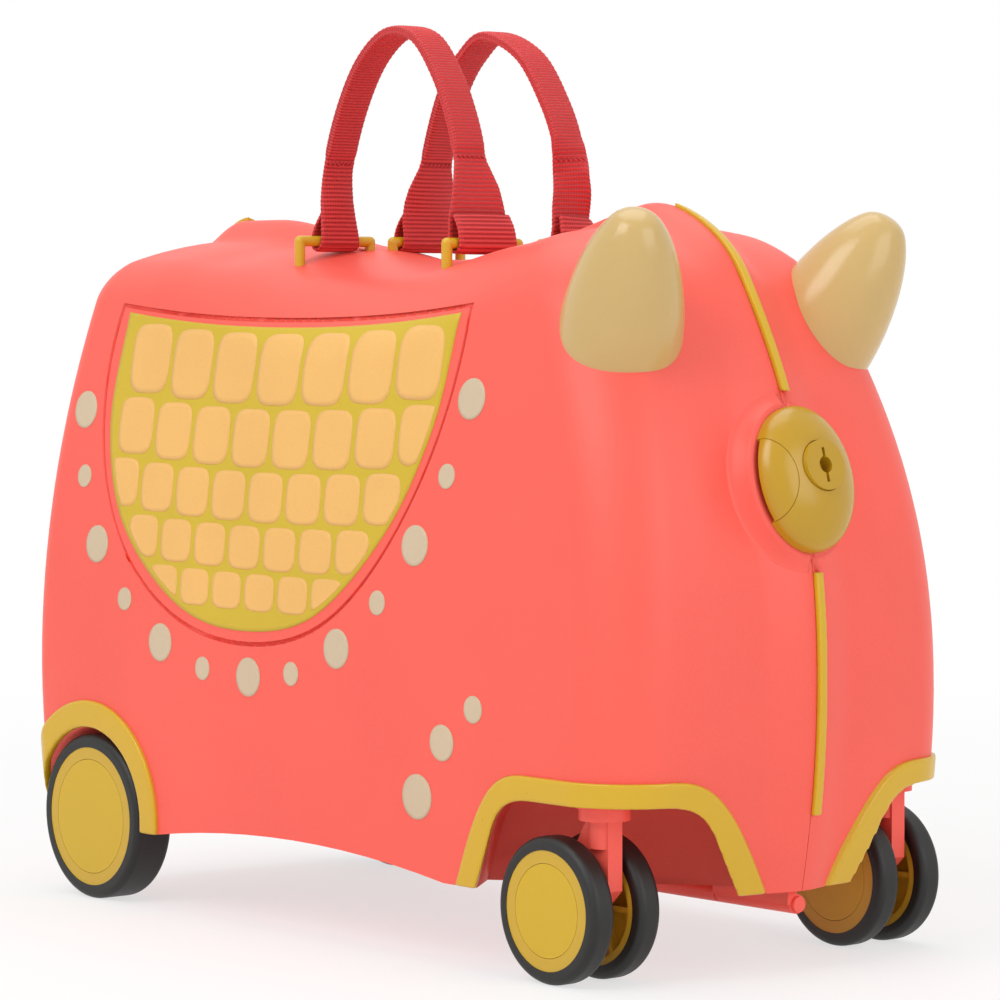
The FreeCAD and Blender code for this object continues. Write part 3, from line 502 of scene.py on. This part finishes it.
@dataclass
class ShellSkin:
    """A half shell whose outer skin is drawn exactly onto the depth formula, so that light runs over it evenly."""

    form: ShellForm
    side: Side
    reach: float = 0.8
    catch_half: float = 36.0
    end_x: float = 150.0
    sharp_deg: float = 32.0
    facing: float = 0.8
    draws: int = 3

    def build(self, finishes: Finishes) -> None:
        """Moves the skin's points along the gradient onto zero depth and gives them its direction as normals.

        Args:
            finishes: where the shell's finish comes from.
        """
        node = self.side.word + "_shell"
        mesh = merged_copy(node)
        points = np.empty(len(mesh.vertices) * 3, dtype=np.float32)
        mesh.vertices.foreach_get("co", points)
        points = points.reshape(-1, 3).astype(float) / MM
        mirror, gap = np.array([1, self.side.value, 1]), np.array([0, self.form.half_gap, 0])
        flat = points * mirror - gap
        at_catch = (np.abs(flat[:, 1]) < self.catch_half) & (np.abs(flat[:, 2] - self.form.catch_z) < self.catch_half)
        at_catch &= np.abs(flat[:, 0]) > self.end_x
        off_skin = np.abs(self.form.depth(*flat.T)) > self.reach
        skin = ~off_skin & ~at_catch
        for _ in range(self.draws):
            slope = self.form.slope(*flat.T)
            shift = self.form.depth(*flat.T)[:, None] * slope / np.sum(slope ** 2, axis=1, keepdims=True)
            flat = flat - np.where(skin[:, None], shift, 0)
        normal = -self.form.slope(*flat.T)
        normal /= np.linalg.norm(normal, axis=1, keepdims=True)
        points = np.where(skin[:, None], (flat + gap) * mirror, points)
        mesh.vertices.foreach_set("co", (points * MM).astype(np.float32).ravel())
        corner = np.empty(len(mesh.loops), dtype=np.int32)
        mesh.loops.foreach_get("vertex_index", corner)
        seat_wall = at_catch[corner].reshape(-1, 3).all(axis=1) & off_skin[corner].reshape(-1, 3).any(axis=1)
        mesh.polygons.foreach_set("use_smooth", ~seat_wall)
        mesh.update()
        mesh.set_sharp_from_angle(angle=math.radians(self.sharp_deg))
        face = np.empty(len(mesh.polygons) * 3, dtype=np.float32)
        mesh.polygons.foreach_get("normal", face)
        face = np.repeat(face.reshape(-1, 3), 3, axis=0)
        shown = (normal * mirror)[corner]
        even = skin[corner].reshape(-1, 3).all(axis=1).repeat(3) & (np.sum(shown * face, axis=1) > self.facing)
        mesh.normals_split_custom_set(np.where(even[:, None], shown, 0).tolist())
        piece = link(self.side.word + "_shell_skin", mesh, finishes.shell)
        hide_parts(node)
        on_body(piece, self.side.word + "_half")


@dataclass
class CatchCollar:
    """Fillet and rim on the right half round a catch's seat, which is an oval boss on a tilted axis."""

    form: ShellForm
    end: str
    sign: float
    tilt_deg: float
    axis_across: float
    top_along: float
    half_wide: float = 27.85
    half_tall: float = 33.96
    spread: float = 6.0
    clear: float = 0.12
    rim: float = 5.5
    sink_share: float = 0.15
    half_turn_deg: float = 86.0
    turn_count: int = 121
    fillet_count: int = 15
    search: tuple[float, float] = (190.0, 225.0)

    def place(self, along: np.ndarray, across: np.ndarray, y: np.ndarray) -> tuple[np.ndarray, ...]:
        """Places (x, y, z) from distances along the catch's axis, across it and from the half's edge."""
        cos, sin = math.cos(math.radians(self.tilt_deg)), math.sin(math.radians(self.tilt_deg))
        return self.sign * (along * cos - across * sin), y, self.form.catch_z + along * sin + across * cos

    def build(self, finishes: Finishes) -> None:
        """Rings round the oval (a cos t, b sin t), whose height over the skin falls as (1 - e / spread) squared.

        Args:
            finishes: where the shell's finish comes from.
        """
        turn = np.radians(np.linspace(-self.half_turn_deg, self.half_turn_deg, self.turn_count))[:, None]
        way = np.linspace(1, 0, self.fillet_count)
        out = np.concatenate([self.spread * way + self.clear, [-self.rim, -self.rim, self.spread + self.clear]])
        share = np.concatenate([(1 - way) ** 2, [1.0, -self.sink_share, -self.sink_share]])
        across = self.axis_across + (self.half_tall + out) * np.sin(turn)
        y = (self.half_wide + out) * np.cos(turn)
        near, far = (np.full_like(y, limit) for limit in self.search)
        skin = halve(lambda along: self.form.depth(*self.place(along, across, y)) > 0, near, far, self.form.halvings)
        top = np.stack(self.place(skin + share * (self.top_along - skin), across, y), axis=-1)
        grid = top * np.array([1, -1, 1]) - np.array([0, self.form.half_gap, 0])
        ends = np.broadcast_to(grid[[0, -1]].mean(axis=1, keepdims=True), (2,) + grid.shape[1:])
        points = np.concatenate([ends[:1], grid, ends[1:]])[None]
        piece = surface(self.end + "_catch_collar", points, finishes.shell, wrap=True, flip=self.sign < 0)
        on_body(piece, "right_half")


@dataclass
class SoftTrim:
    """A moulded trim whose edges are rounded: the solid remeshed in small cells and smoothed."""

    node: str
    body: str
    cell: float = 0.7
    passes: int = 9
    pull: float = 0.5

    def build(self, material: bpy.types.Material) -> None:
        """Remeshes a copy of the solid, smooths it and keeps the result as a plain mesh.

        Args:
            material: its finish.
        """
        rough = link(self.node + "_rough", merged_copy(self.node), material)
        remesh = rough.modifiers.new("cells", "REMESH")
        remesh.mode = "VOXEL"
        remesh.voxel_size = self.cell * MM
        smooth = rough.modifiers.new("soften", "SMOOTH")
        smooth.factor = self.pull
        smooth.iterations = self.passes
        mesh = bpy.data.meshes.new_from_object(rough.evaluated_get(bpy.context.evaluated_depsgraph_get()))
        bpy.data.objects.remove(rough)
        mesh.shade_smooth()
        piece = link(self.node + "_soft", mesh, material)
        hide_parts(self.node)
        on_body(piece, self.body)


@dataclass
class SidePanel:
    """Printed panel on one side: rows of rounded bricks in the sunk shield, and round spots outside it."""

    form: ShellForm
    side: Side
    rear_x: float = -165.0
    front_x: float = 99.0
    top_z: float = 288.0
    low_z: float = 130.0
    sag: float = 7.0
    border: float = 7.0
    top_border: float = 4.5
    joint: float = 2.8
    lift: float = 0.3
    print_lift: float = 0.12
    sink: float = 0.5
    row_heights: tuple[float, ...] = (33.0, 27.0, 23.0, 20.0, 17.0, 14.0)
    brick_share: float = 0.55
    brick_least: float = 13.0
    brick_power: float = 0.5
    brick_halvings: int = 12
    column_half: int = 6
    sag_half: float = 130.0
    kept_share: float = 0.5
    spot_offset: float = 14.0
    spot_sizes: tuple[float, float] = (9.0, 5.5)
    spot_steps: tuple[int, int, int] = (16, 146, 13)
    arch_spots: tuple[tuple[float, float, float], ...] = ((84.0, 72.0, 10.0), (101.0, 97.0, 8.0), (122.0, 113.0, 6.0))
    curve_count: int = 160
    brick_count: int = 48
    spot_count: int = 36
    field_steps: int = 40
    outline_shares: tuple[tuple[float, float], ...] = ((-1.0, 1.0), (-1.03, 0.62), (-0.88, 0.3), (-0.5, 0.06),
                                                       (-0.08, 0.0), (0.34, 0.07), (0.72, 0.34), (0.93, 0.66),
                                                       (1.0, 1.0))

    def outline(self, inset: float, top_inset: float) -> np.ndarray:
        """The shield's closed outline: a smooth curve through its shares, then the sagging top edge.

        Args:
            inset: how far the sides and the foot are drawn in.
            top_inset: how far the top edge is drawn in.

        Returns:
            Points (x, z), counted round the shield.
        """
        half = (self.front_x - self.rear_x) / 2 - inset
        mid = (self.front_x + self.rear_x) / 2
        top, low = self.top_z - top_inset, self.low_z + inset
        shares = np.array(self.outline_shares)
        lower = np.stack([mid + half * shares[:, 0], low + (top - low) * shares[:, 1]], axis=1)
        lower = smooth_path(lower, self.curve_count)
        way = np.linspace(1, -1, self.curve_count // 2)[1:-1]
        upper = np.stack([mid + half * way, top - self.sag * (1 - way ** 2)], axis=1)
        return np.concatenate([lower, upper])

    def plate(self, name: str, rings: np.ndarray, lift: float, material: bpy.types.Material,
              steps: int = 7) -> None:
        """A thin closed plate on the skin, from outlines round their middles.

        Each outline is drawn in to its middle on the face, and again on the back.

        Args:
            name: name of the piece.
            rings: outlines as an array of plates, points and (x, z).
            lift: height of the plate's face over the skin.
            material: its finish.
            steps: outlines on the face, from its middle to its edge.
        """
        middle = rings.mean(axis=1, keepdims=True)
        share = np.concatenate([np.linspace(0, 1, steps), [1.0, 0.5, 0.0]])
        height = np.array([lift] * steps + [-self.sink] * 3)
        grid = middle[:, None] + share[None, :, None, None] * (rings - middle)[:, None]
        off = np.broadcast_to(height[None, :, None], grid.shape[:3])
        points = self.form.side_point(grid[..., 0], grid[..., 1], off, self.side)
        piece = surface(name, points, material, wrap=True, flip=self.side is Side.LEFT)
        on_body(piece, self.side.word + "_half")

    def bricks(self) -> np.ndarray:
        """Rounded bricks in staggered rows that shrink downwards: superellipses, pulled in to the shield's edge.

        Returns:
            Their outlines, as an array of bricks, points and (x, z).
        """
        turn = np.linspace(0, 2 * np.pi, self.brick_count, endpoint=False)
        unit = np.stack([power(np.cos(turn), self.brick_power), power(np.sin(turn), self.brick_power)], axis=1)
        edge = self.outline(self.border + self.joint, self.top_border + self.joint)
        mid = (self.front_x + self.rear_x) / 2
        tops = self.top_z - self.top_border - self.joint
        tops = tops - np.cumsum([0.0] + [high + self.joint for high in self.row_heights])
        middles, halves = [], []
        for row, (high, top) in enumerate(zip(self.row_heights, tops)):
            wide = high * self.brick_share + self.brick_least
            steps = np.arange(-self.column_half, self.column_half + 1) + 0.5 * (row % 2)
            x = mid + (wide + self.joint) * steps
            bend = self.sag * (1 - ((x - mid) / self.sag_half) ** 2)
            z = top - high / 2 - bend * (1 - row / (len(self.row_heights) + 1))
            middles.append(np.stack([x, z], axis=1))
            halves.append(np.broadcast_to([wide / 2, high / 2], (len(x), 2)))
        middle, half = np.concatenate(middles), np.concatenate(halves)
        kept = inside(middle, edge)
        middle, half = middle[kept][:, None], half[kept][:, None]
        reach = unit * half
        full = inside(middle + reach, edge)[..., None]
        none, whole = np.zeros(full.shape), np.ones(full.shape)
        part = halve(lambda way: inside(middle + reach * way, edge)[..., None], none, whole, self.brick_halvings)
        share = np.where(full, 1.0, part)
        return (middle + reach * share)[share.mean(axis=(1, 2)) > self.kept_share]

    def spots(self) -> np.ndarray:
        """Round spots of two sizes along a line outside the shield, and three near the front arch.

        Returns:
            Their outlines, as an array of spots, points and (x, z).
        """
        turn = np.linspace(0, 2 * np.pi, self.spot_count, endpoint=False)
        unit = np.stack([np.cos(turn), np.sin(turn)], axis=1)
        step = np.linspace(*self.spot_steps).astype(int)
        arch = np.array(self.arch_spots)
        middle = np.concatenate([self.outline(-self.spot_offset, 0.0)[step], arch[:, :2]])
        size = np.concatenate([np.where(np.arange(len(step)) % 2 == 0, *self.spot_sizes), arch[:, 2]])
        return middle[:, None] + unit[None] * size[:, None, None]

    def build(self, finishes: Finishes) -> None:
        """Makes the field, its bricks and the spots.

        Args:
            finishes: where the printed films come from.
        """
        word = self.side.word
        field = self.outline(self.border, self.top_border)[None]
        self.plate(word + "_panel_field", field, self.lift, finishes.film, self.field_steps)
        self.plate(word + "_panel_bricks", self.bricks(), self.lift + self.print_lift, finishes.peach)
        self.plate(word + "_panel_spots", self.spots(), self.lift, finishes.beige)


def power(way: np.ndarray, exponent: float) -> np.ndarray:
    """A power that keeps the sign, as a superellipse needs."""
    return np.sign(way) * np.abs(way) ** exponent


def smooth_path(points: np.ndarray, count: int, fine: int = 40) -> np.ndarray:
    """Catmull-Rom curve through points, sampled evenly by length.

    Args:
        points: points with any number of coordinates.
        count: number of samples.
        fine: samples per point while the length is measured.

    Returns:
        The samples, from the first point to the last.
    """
    first, last = 2 * points[:1] - points[1:2], 2 * points[-1:] - points[-2:-1]
    p = np.concatenate([first, points, last])
    t = np.linspace(0, len(points) - 1, fine * len(points))
    k = np.minimum(t.astype(int), len(points) - 2)
    u = (t - k)[:, None]
    a, b, c, d = p[k], p[k + 1], p[k + 2], p[k + 3]
    curve = 0.5 * (2 * b + (c - a) * u + (2 * a - 5 * b + 4 * c - d) * u ** 2 + (3 * b - a - 3 * c + d) * u ** 3)
    run = length_run(curve)
    even = np.linspace(0, run[-1], count)
    return np.stack([np.interp(even, run, curve[:, i]) for i in range(curve.shape[1])], axis=1)


def length_run(path: np.ndarray) -> np.ndarray:
    """The length run along a path at each of its points."""
    return np.concatenate([[0], np.cumsum(np.linalg.norm(np.diff(path, axis=0), axis=1))])


def inside(points: np.ndarray, edge: np.ndarray) -> np.ndarray:
    """Tells which points lie inside a closed outline, by counting crossings of a ray along X.

    Args:
        points: points (x, z) with any axes before the last.
        edge: the outline's points.

    Returns:
        True for each point inside.
    """
    x, z = points[..., 0, None], points[..., 1, None]
    a, b = edge, np.roll(edge, -1, axis=0)
    spans = (a[:, 1] > z) != (b[:, 1] > z)
    rise = np.where(b[:, 1] == a[:, 1], 1e-9, b[:, 1] - a[:, 1])
    cross = a[:, 0] + (z - a[:, 1]) / rise * (b[:, 0] - a[:, 0])
    return (spans & (x < cross)).sum(axis=-1) % 2 == 1


@dataclass
class WebbingHandle:
    """One carrying handle: a single webbing band, doubled in the grip, whose ends loop round the anchor bars."""

    side: Side
    grip: tuple[tuple[float, float], ...]
    widths: tuple[tuple[float, float], ...]
    curls: tuple[tuple[float, float], ...]
    twists: tuple[tuple[float, float], ...]
    centre_y: float = 28.0
    rear_bar: tuple[float, float] = (-69.0, 317.07)
    front_bar: tuple[float, float] = (40.0, 314.69)
    loop_r: float = 3.9
    hem: float = 13.0
    flat_thick: float = 2.0
    grip_thick: float = 4.4
    leg_rib: float = 2.0
    grip_rib: float = 1.5
    thread: float = 1.25
    stitched_z: float = 356.0
    blend_low: float = 328.0
    blend_high: float = 350.0
    mid_x: float = -14.0
    table_z: float = 420.0
    double_run: float = 3.0
    leg_in: float = 0.6
    hem_gap: float = 0.5
    hem_out: float = 2.6
    rib_high: float = 0.22
    braid_high: float = 0.18
    edge_share: float = 0.93
    edge_soft: float = 0.06
    fold_soft: float = 0.35
    fold_deep: float = 0.7
    fold_edge: float = 0.9
    fold_least: float = 3.0
    rib_spread: float = 0.3
    curl_share: float = 0.4
    across_power: float = 0.4
    through_power: float = 0.5
    stitch_pitch: float = 2.7
    stitch_margin: float = 1.2
    stitch_lift: float = 0.15
    stitch_half: float = 1.25
    stitch_r: float = 0.8
    stitch_slant: tuple[float, float] = (0.75, 0.66)
    grip_stitch_drop: float = 2.0
    hem_stitch_drop: float = 3.0
    stitch_ball: tuple[int, int] = (8, 7)
    ring_count: int = 44
    arc_count: int = 7

    def route(self, count: int = 1100) -> tuple[np.ndarray, np.ndarray]:
        """The band's middle line: hem, half turn under the rear bar, leg, grip, leg, half turn, hem.

        Args:
            count: number of stations.

        Returns:
            Points (x, z) evenly spaced, and the length run at each.
        """
        turn = np.linspace(0, np.pi, self.arc_count)
        ends = []
        for (x, z), out in ((self.rear_bar, -1), (self.front_bar, 1)):
            arc = np.stack([x + out * self.loop_r * np.cos(turn), z - self.loop_r * np.sin(turn)], axis=1)
            leg_x = x - out * (self.loop_r - self.leg_in)
            hem = np.array([[leg_x + out * (self.flat_thick + self.hem_gap), z + self.hem],
                            [x + out * self.hem_out, z + self.hem / 2]])
            ends.append(np.concatenate([hem, arc]))
        path = np.concatenate([ends[0], np.array(self.grip), ends[1][::-1]])
        path = smooth_path(path, count)
        return path, length_run(path)

    def section(self) -> dict[str, np.ndarray]:
        """Width, thickness, curl, turn and rib phase along the band.

        The tables go by the distance below a height over the grip, less than zero on the rear leg.

        Returns:
            Each of them by name, with the middle line, one row per station.
        """
        path, run = self.route()
        signed = np.where(path[:, 0] > self.mid_x, 1, -1) * np.maximum(self.table_z - path[:, 1], 0.0)
        width, curl, twist = (np.interp(signed, *np.array(table).T) for table in (self.widths, self.curls, self.twists))
        doubled = np.clip((path[:, 1] - self.stitched_z) / self.double_run, 0, 1)
        thick = self.flat_thick + (self.grip_thick - self.flat_thick) * doubled
        pitch = self.leg_rib + (self.grip_rib - self.leg_rib) * doubled
        phase = np.cumsum(np.gradient(run) / pitch)
        return {"path": path, "width": width, "curl": curl, "twist": twist, "thick": thick, "phase": phase}

    def place(self, form: dict[str, np.ndarray], u: np.ndarray, v: np.ndarray) -> np.ndarray:
        """Points of the band from distances across (u) and out of (v) its middle, turned by its twist.

        Args:
            form: what section() gives.
            u: distances across, one row per station.
            v: distances out of the band.

        Returns:
            Points with a last axis of three.
        """
        tangent = np.gradient(form["path"], axis=0)
        tangent /= np.linalg.norm(tangent, axis=1, keepdims=True)
        turn = np.radians(form["twist"])[:, None]
        across, out = u * np.cos(turn) - v * np.sin(turn), u * np.sin(turn) + v * np.cos(turn)
        x = form["path"][:, :1] - out * tangent[:, 1:]
        z = form["path"][:, 1:] + out * tangent[:, :1]
        return np.stack([x, self.side.value * (self.centre_y + across), z], axis=-1)

    def strap(self, material: bpy.types.Material) -> None:
        """The band: a flat superellipse carried along the route, ribbed across and thicker at its woven edges.

        Args:
            material: the webbing.
        """
        form = self.section()
        turn = np.linspace(0, 2 * np.pi, self.ring_count, endpoint=False)
        across = power(np.cos(turn), self.across_power)
        through = power(np.sin(turn), self.through_power)
        rib = self.rib_high * np.cos(2 * np.pi * form["phase"])[:, None]
        edge = np.exp(-((np.abs(across) - self.edge_share) / self.edge_soft) ** 2)[None]
        braid = self.braid_high * edge * (1 + np.cos(np.pi * form["phase"])[:, None])
        fold = np.exp(-(through / self.fold_soft) ** 2) * (np.abs(across) > self.fold_edge)
        fold = fold * (form["thick"][:, None] > self.fold_least)
        u = across * (form["width"][:, None] / 2 + self.rib_spread * rib - self.fold_deep * fold)
        v = through * (form["thick"][:, None] / 2 + rib * (1 - edge) + braid)
        v = v + form["curl"][:, None] * (across ** 2 - self.curl_share)
        points = self.place(form, u, v)
        uv = np.stack([np.broadcast_to(across * form["width"][:, None] / 2 / self.thread, u.shape),
                       np.broadcast_to(form["phase"][:, None], u.shape)], axis=-1)
        ends = points.mean(axis=1, keepdims=True)
        points = np.concatenate([np.broadcast_to(ends[:1], points[:1].shape), points,
                                 np.broadcast_to(ends[-1:], points[:1].shape)])
        uv = np.concatenate([uv[:1], uv, uv[-1:]])
        word = self.side.word
        piece = surface(word + "_webbing_strap", points[None], material, wrap=True, uv=uv,
                        flip=self.side is Side.RIGHT)
        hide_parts(word + "_handle_strap", word + "_handle_tabs")
        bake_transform(piece)
        log.info("%s bends between its half and its handle", piece.name)

    def stitches(self, name: str, body: str, height: float, material: bpy.types.Material) -> None:
        """Rows of slanted stitches across both legs at a height, on both faces: small rounded capsules.

        Args:
            name: name of the piece.
            body: what it rides on.
            height: where the rows are.
            material: the thread.
        """
        form = self.section()
        turn = np.linspace(0, 2 * np.pi, self.stitch_ball[0], endpoint=False)
        lift = np.linspace(-np.pi / 2, np.pi / 2, self.stitch_ball[1])[:, None]
        ball = np.stack(np.broadcast_arrays(np.cos(lift) * np.cos(turn), np.cos(lift) * np.sin(turn), np.sin(lift)), -1)
        caps = []
        for front in (False, True):
            leg = (form["path"][:, 0] > self.mid_x) == front
            k = int(np.argmin(np.where(leg, np.abs(form["path"][:, 1] - height), np.inf)))
            local = {key: value[k - 1:k + 2] for key, value in form.items()}
            width, thick, curl = form["width"][k], form["thick"][k], form["curl"][k]
            count = int(width / self.stitch_pitch)
            spots = ((np.arange(count) + 0.5) / count * 2 - 1) * (width / 2 - self.stitch_margin)
            bend = curl * ((2 * spots / width) ** 2 - self.curl_share)
            for face in (-1, 1):
                out = face * thick / 2 + face * self.stitch_lift + bend
                base = self.place(local, *(np.broadcast_to(row, (3, count)) for row in (spots, out)))
                along = base[2] - base[0]
                along /= np.linalg.norm(along, axis=1, keepdims=True)
                slant = along * self.stitch_slant[0] + np.array([0, self.stitch_slant[1], 0])
                side = np.cross(slant, along)
                axes = (self.stitch_r * side, self.stitch_r * np.cross(slant, side), self.stitch_half * slant)
                turned = sum(ball[None, ..., i, None] * axis[:, None, None] for i, axis in enumerate(axes))
                caps.append(base[1][:, None, None] + turned)
        piece = surface(name, np.concatenate(caps), material, wrap=True)
        on_body(piece, body)

    def build(self, finishes: Finishes) -> None:
        """Makes the band and its stitches.

        Args:
            finishes: where the webbing and its thread come from.
        """
        word = self.side.word
        self.strap(finishes.webbing)
        grip_z = self.stitched_z - self.grip_stitch_drop
        hem_z = self.rear_bar[1] + self.hem - self.hem_stitch_drop
        self.stitches(word + "_grip_stitches", word + "_handle", grip_z, finishes.thread)
        self.stitches(word + "_hem_stitches", word + "_half", hem_z, finishes.thread)


@dataclass(frozen=True)
class Studio:
    """Pale floor, soft light and a camera where the photograph was taken."""

    camera_mm: tuple[float, float, float] = (1484.1, -1235.0, 284.6)
    yaw_deg: float = 49.87
    pitch_deg: float = 2.63
    lens_mm: float = 148.95
    sensor_mm: float = 36.0
    floor_half_m: float = 6.0
    shade_m: tuple[float, float] = (0.45, 1.3)
    near_white: float = 0.66
    fill_strength: float = 0.55

    def floor(self) -> None:
        """A wide floor: matt white near the case, plain white further off."""
        size = self.floor_half_m
        mesh = bpy.data.meshes.new("floor")
        mesh.from_pydata([(-size, -size, 0), (size, -size, 0), (size, size, 0), (-size, size, 0)], [], [(0, 1, 2, 3)])
        material, tree, shader = new_material("studio_floor")
        shader.inputs["Base Color"].default_value = linear("#F4F4F4")
        shader.inputs["Roughness"].default_value = 0.7
        place = add_node(tree, "TexCoord").outputs["Object"]
        far = add_node(tree, "VectorMath", {0: place}, operation="LENGTH")
        fade = add_node(tree, "MapRange", {"Value": far.outputs["Value"], "From Min": self.shade_m[0],
                                           "From Max": self.shade_m[1], "To Min": self.near_white},
                        interpolation_type="SMOOTHSTEP")
        ray = add_node(tree, "LightPath")
        looks = math_node(tree, "MAXIMUM", ray.outputs["Is Camera Ray"], ray.outputs["Is Glossy Ray"])
        seen = math_node(tree, "MULTIPLY", fade.outputs[0], looks)
        white = add_node(tree, "Emission", {"Strength": 1.0})
        mix = add_node(tree, "MixShader", {0: seen, 1: shader.outputs[0], 2: white.outputs[0]})
        tree.links.new(mix.outputs[0], tree.nodes["Material Output"].inputs["Surface"])
        piece = link("floor", mesh, material)

    def world(self) -> None:
        """Even light from all round, and white where the camera, mirrors and glass look past the floor."""
        world = bpy.data.worlds.new("studio")
        bpy.context.scene.world = world
        world.use_nodes = True
        tree = world.node_tree
        back = tree.nodes["Background"]
        back.inputs["Color"].default_value = (1.0, 1.0, 1.0, 1.0)
        ray = add_node(tree, "LightPath")
        clear = math_node(tree, "MAXIMUM", ray.outputs["Is Camera Ray"], ray.outputs["Is Transmission Ray"])
        clear = math_node(tree, "MAXIMUM", clear, ray.outputs["Is Glossy Ray"])
        bright = add_node(tree, "MapRange", {"Value": clear, "To Min": self.fill_strength, "To Max": 1.0})
        tree.links.new(bright.outputs[0], back.inputs["Strength"])

    def lamp(self, name: str, place: tuple[float, float, float], aim: tuple[float, float, float], size: float,
             watts: float) -> None:
        """One large soft lamp.

        Args:
            name: name of the lamp.
            place: where it hangs, in metres.
            aim: what it points at.
            size: width of its square face.
            watts: its power.
        """
        light = bpy.data.lights.new(name, "AREA")
        light.shape = "SQUARE"
        light.size = size
        light.energy = watts
        lamp = bpy.data.objects.new(name, light)
        run = np.array(aim) - np.array(place)
        lamp.location = place
        flat = math.hypot(run[0], run[1])
        lamp.rotation_euler = (math.atan2(flat, -run[2]), 0, math.atan2(run[1], run[0]) - math.pi / 2)
        bpy.context.scene.collection.objects.link(lamp)

    def build(self) -> None:
        """Sets up the floor, the light and the camera."""
        self.floor()
        self.world()
        self.lamp("key", place=(0.2, -1.9, 1.9), aim=(0, 0, 0.2), size=1.4, watts=26.0)
        self.lamp("front_fill", place=(2.2, 0.3, 1.0), aim=(0, 0, 0.2), size=1.4, watts=12.0)
        self.lamp("top", place=(-0.3, 0.2, 2.2), aim=(0, 0, 0.3), size=1.6, watts=14.0)
        camera = bpy.data.objects.new("camera", bpy.data.cameras.new("camera"))
        camera.data.sensor_width = self.sensor_mm
        camera.data.sensor_fit = "HORIZONTAL"
        camera.data.lens = self.lens_mm
        camera.location = tuple(v * MM for v in self.camera_mm)
        camera.rotation_euler = (math.radians(90 - self.pitch_deg), 0, math.radians(self.yaw_deg))
        bpy.context.scene.collection.objects.link(camera)
        bpy.context.scene.camera = camera
        bpy.context.scene.view_settings.view_transform = "Standard"


def main() -> None:
    """Builds the case's looks in order."""
    logging.basicConfig(level=logging.INFO, format="%(message)s")
    finishes = Finishes()
    finishes.dress()
    form = ShellForm()
    for side in Side:
        ShellSkin(form, side).build(finishes)
        SidePanel(form, side).build(finishes)
        for arch in ("rear", "front"):
            SoftTrim(side.word + "_" + arch + "_arch_trim", side.word + "_half").build(finishes.trim)
    CatchCollar(form, "front", sign=1.0, tilt_deg=14.97, axis_across=-56.25, top_along=210.33).build(finishes)
    CatchCollar(form, "rear", sign=-1.0, tilt_deg=7.435, axis_across=-28.24, top_along=216.49).build(finishes)
    for end in ("front", "rear"):
        SoftTrim(end + "_seam_strips", "left_half", cell=0.5, passes=5).build(finishes.trim)
    near_grip = ((-66.0, 333.0), (-65.8, 353.1), (-55.9, 379.0), (-40.7, 401.0), (-21.2, 413.0),
                 (-1.3, 410.0), (14.6, 392.5), (25.4, 371.5), (31.1, 352.8), (35.6, 332.2))
    near_widths = ((-110, 24), (-90, 20), (-70, 17), (-62, 17), (62, 18), (68, 19), (80, 27), (92, 33), (110, 34))
    far_grip = ((-65.4, 335.0), (-59.9, 361.4), (-48.5, 389.0), (-34.8, 405.0), (-17.8, 413.5),
                (7.6, 403.0), (25.2, 381.0), (34.5, 361.2), (37.2, 342.6), (36.5, 330.0))
    far_widths = ((-110, 35), (-92, 34), (-78, 28), (-68, 20), (-62, 18), (62, 17), (74, 17), (92, 20), (110, 26))
    curls = ((-100, 0), (-84, 2.5), (-66, 0), (66, 0), (80, 2), (96, 0))
    near_twists = ((-100, 0), (100, 0))
    far_twists = ((-100, 0), (56, 0), (72, 38), (88, 16), (97, 0))
    WebbingHandle(Side.RIGHT, near_grip, near_widths, curls, near_twists).build(finishes)
    WebbingHandle(Side.LEFT, far_grip, far_widths, curls, far_twists).build(finishes)
    Studio().build()


if __name__ == "__main__":
    main()
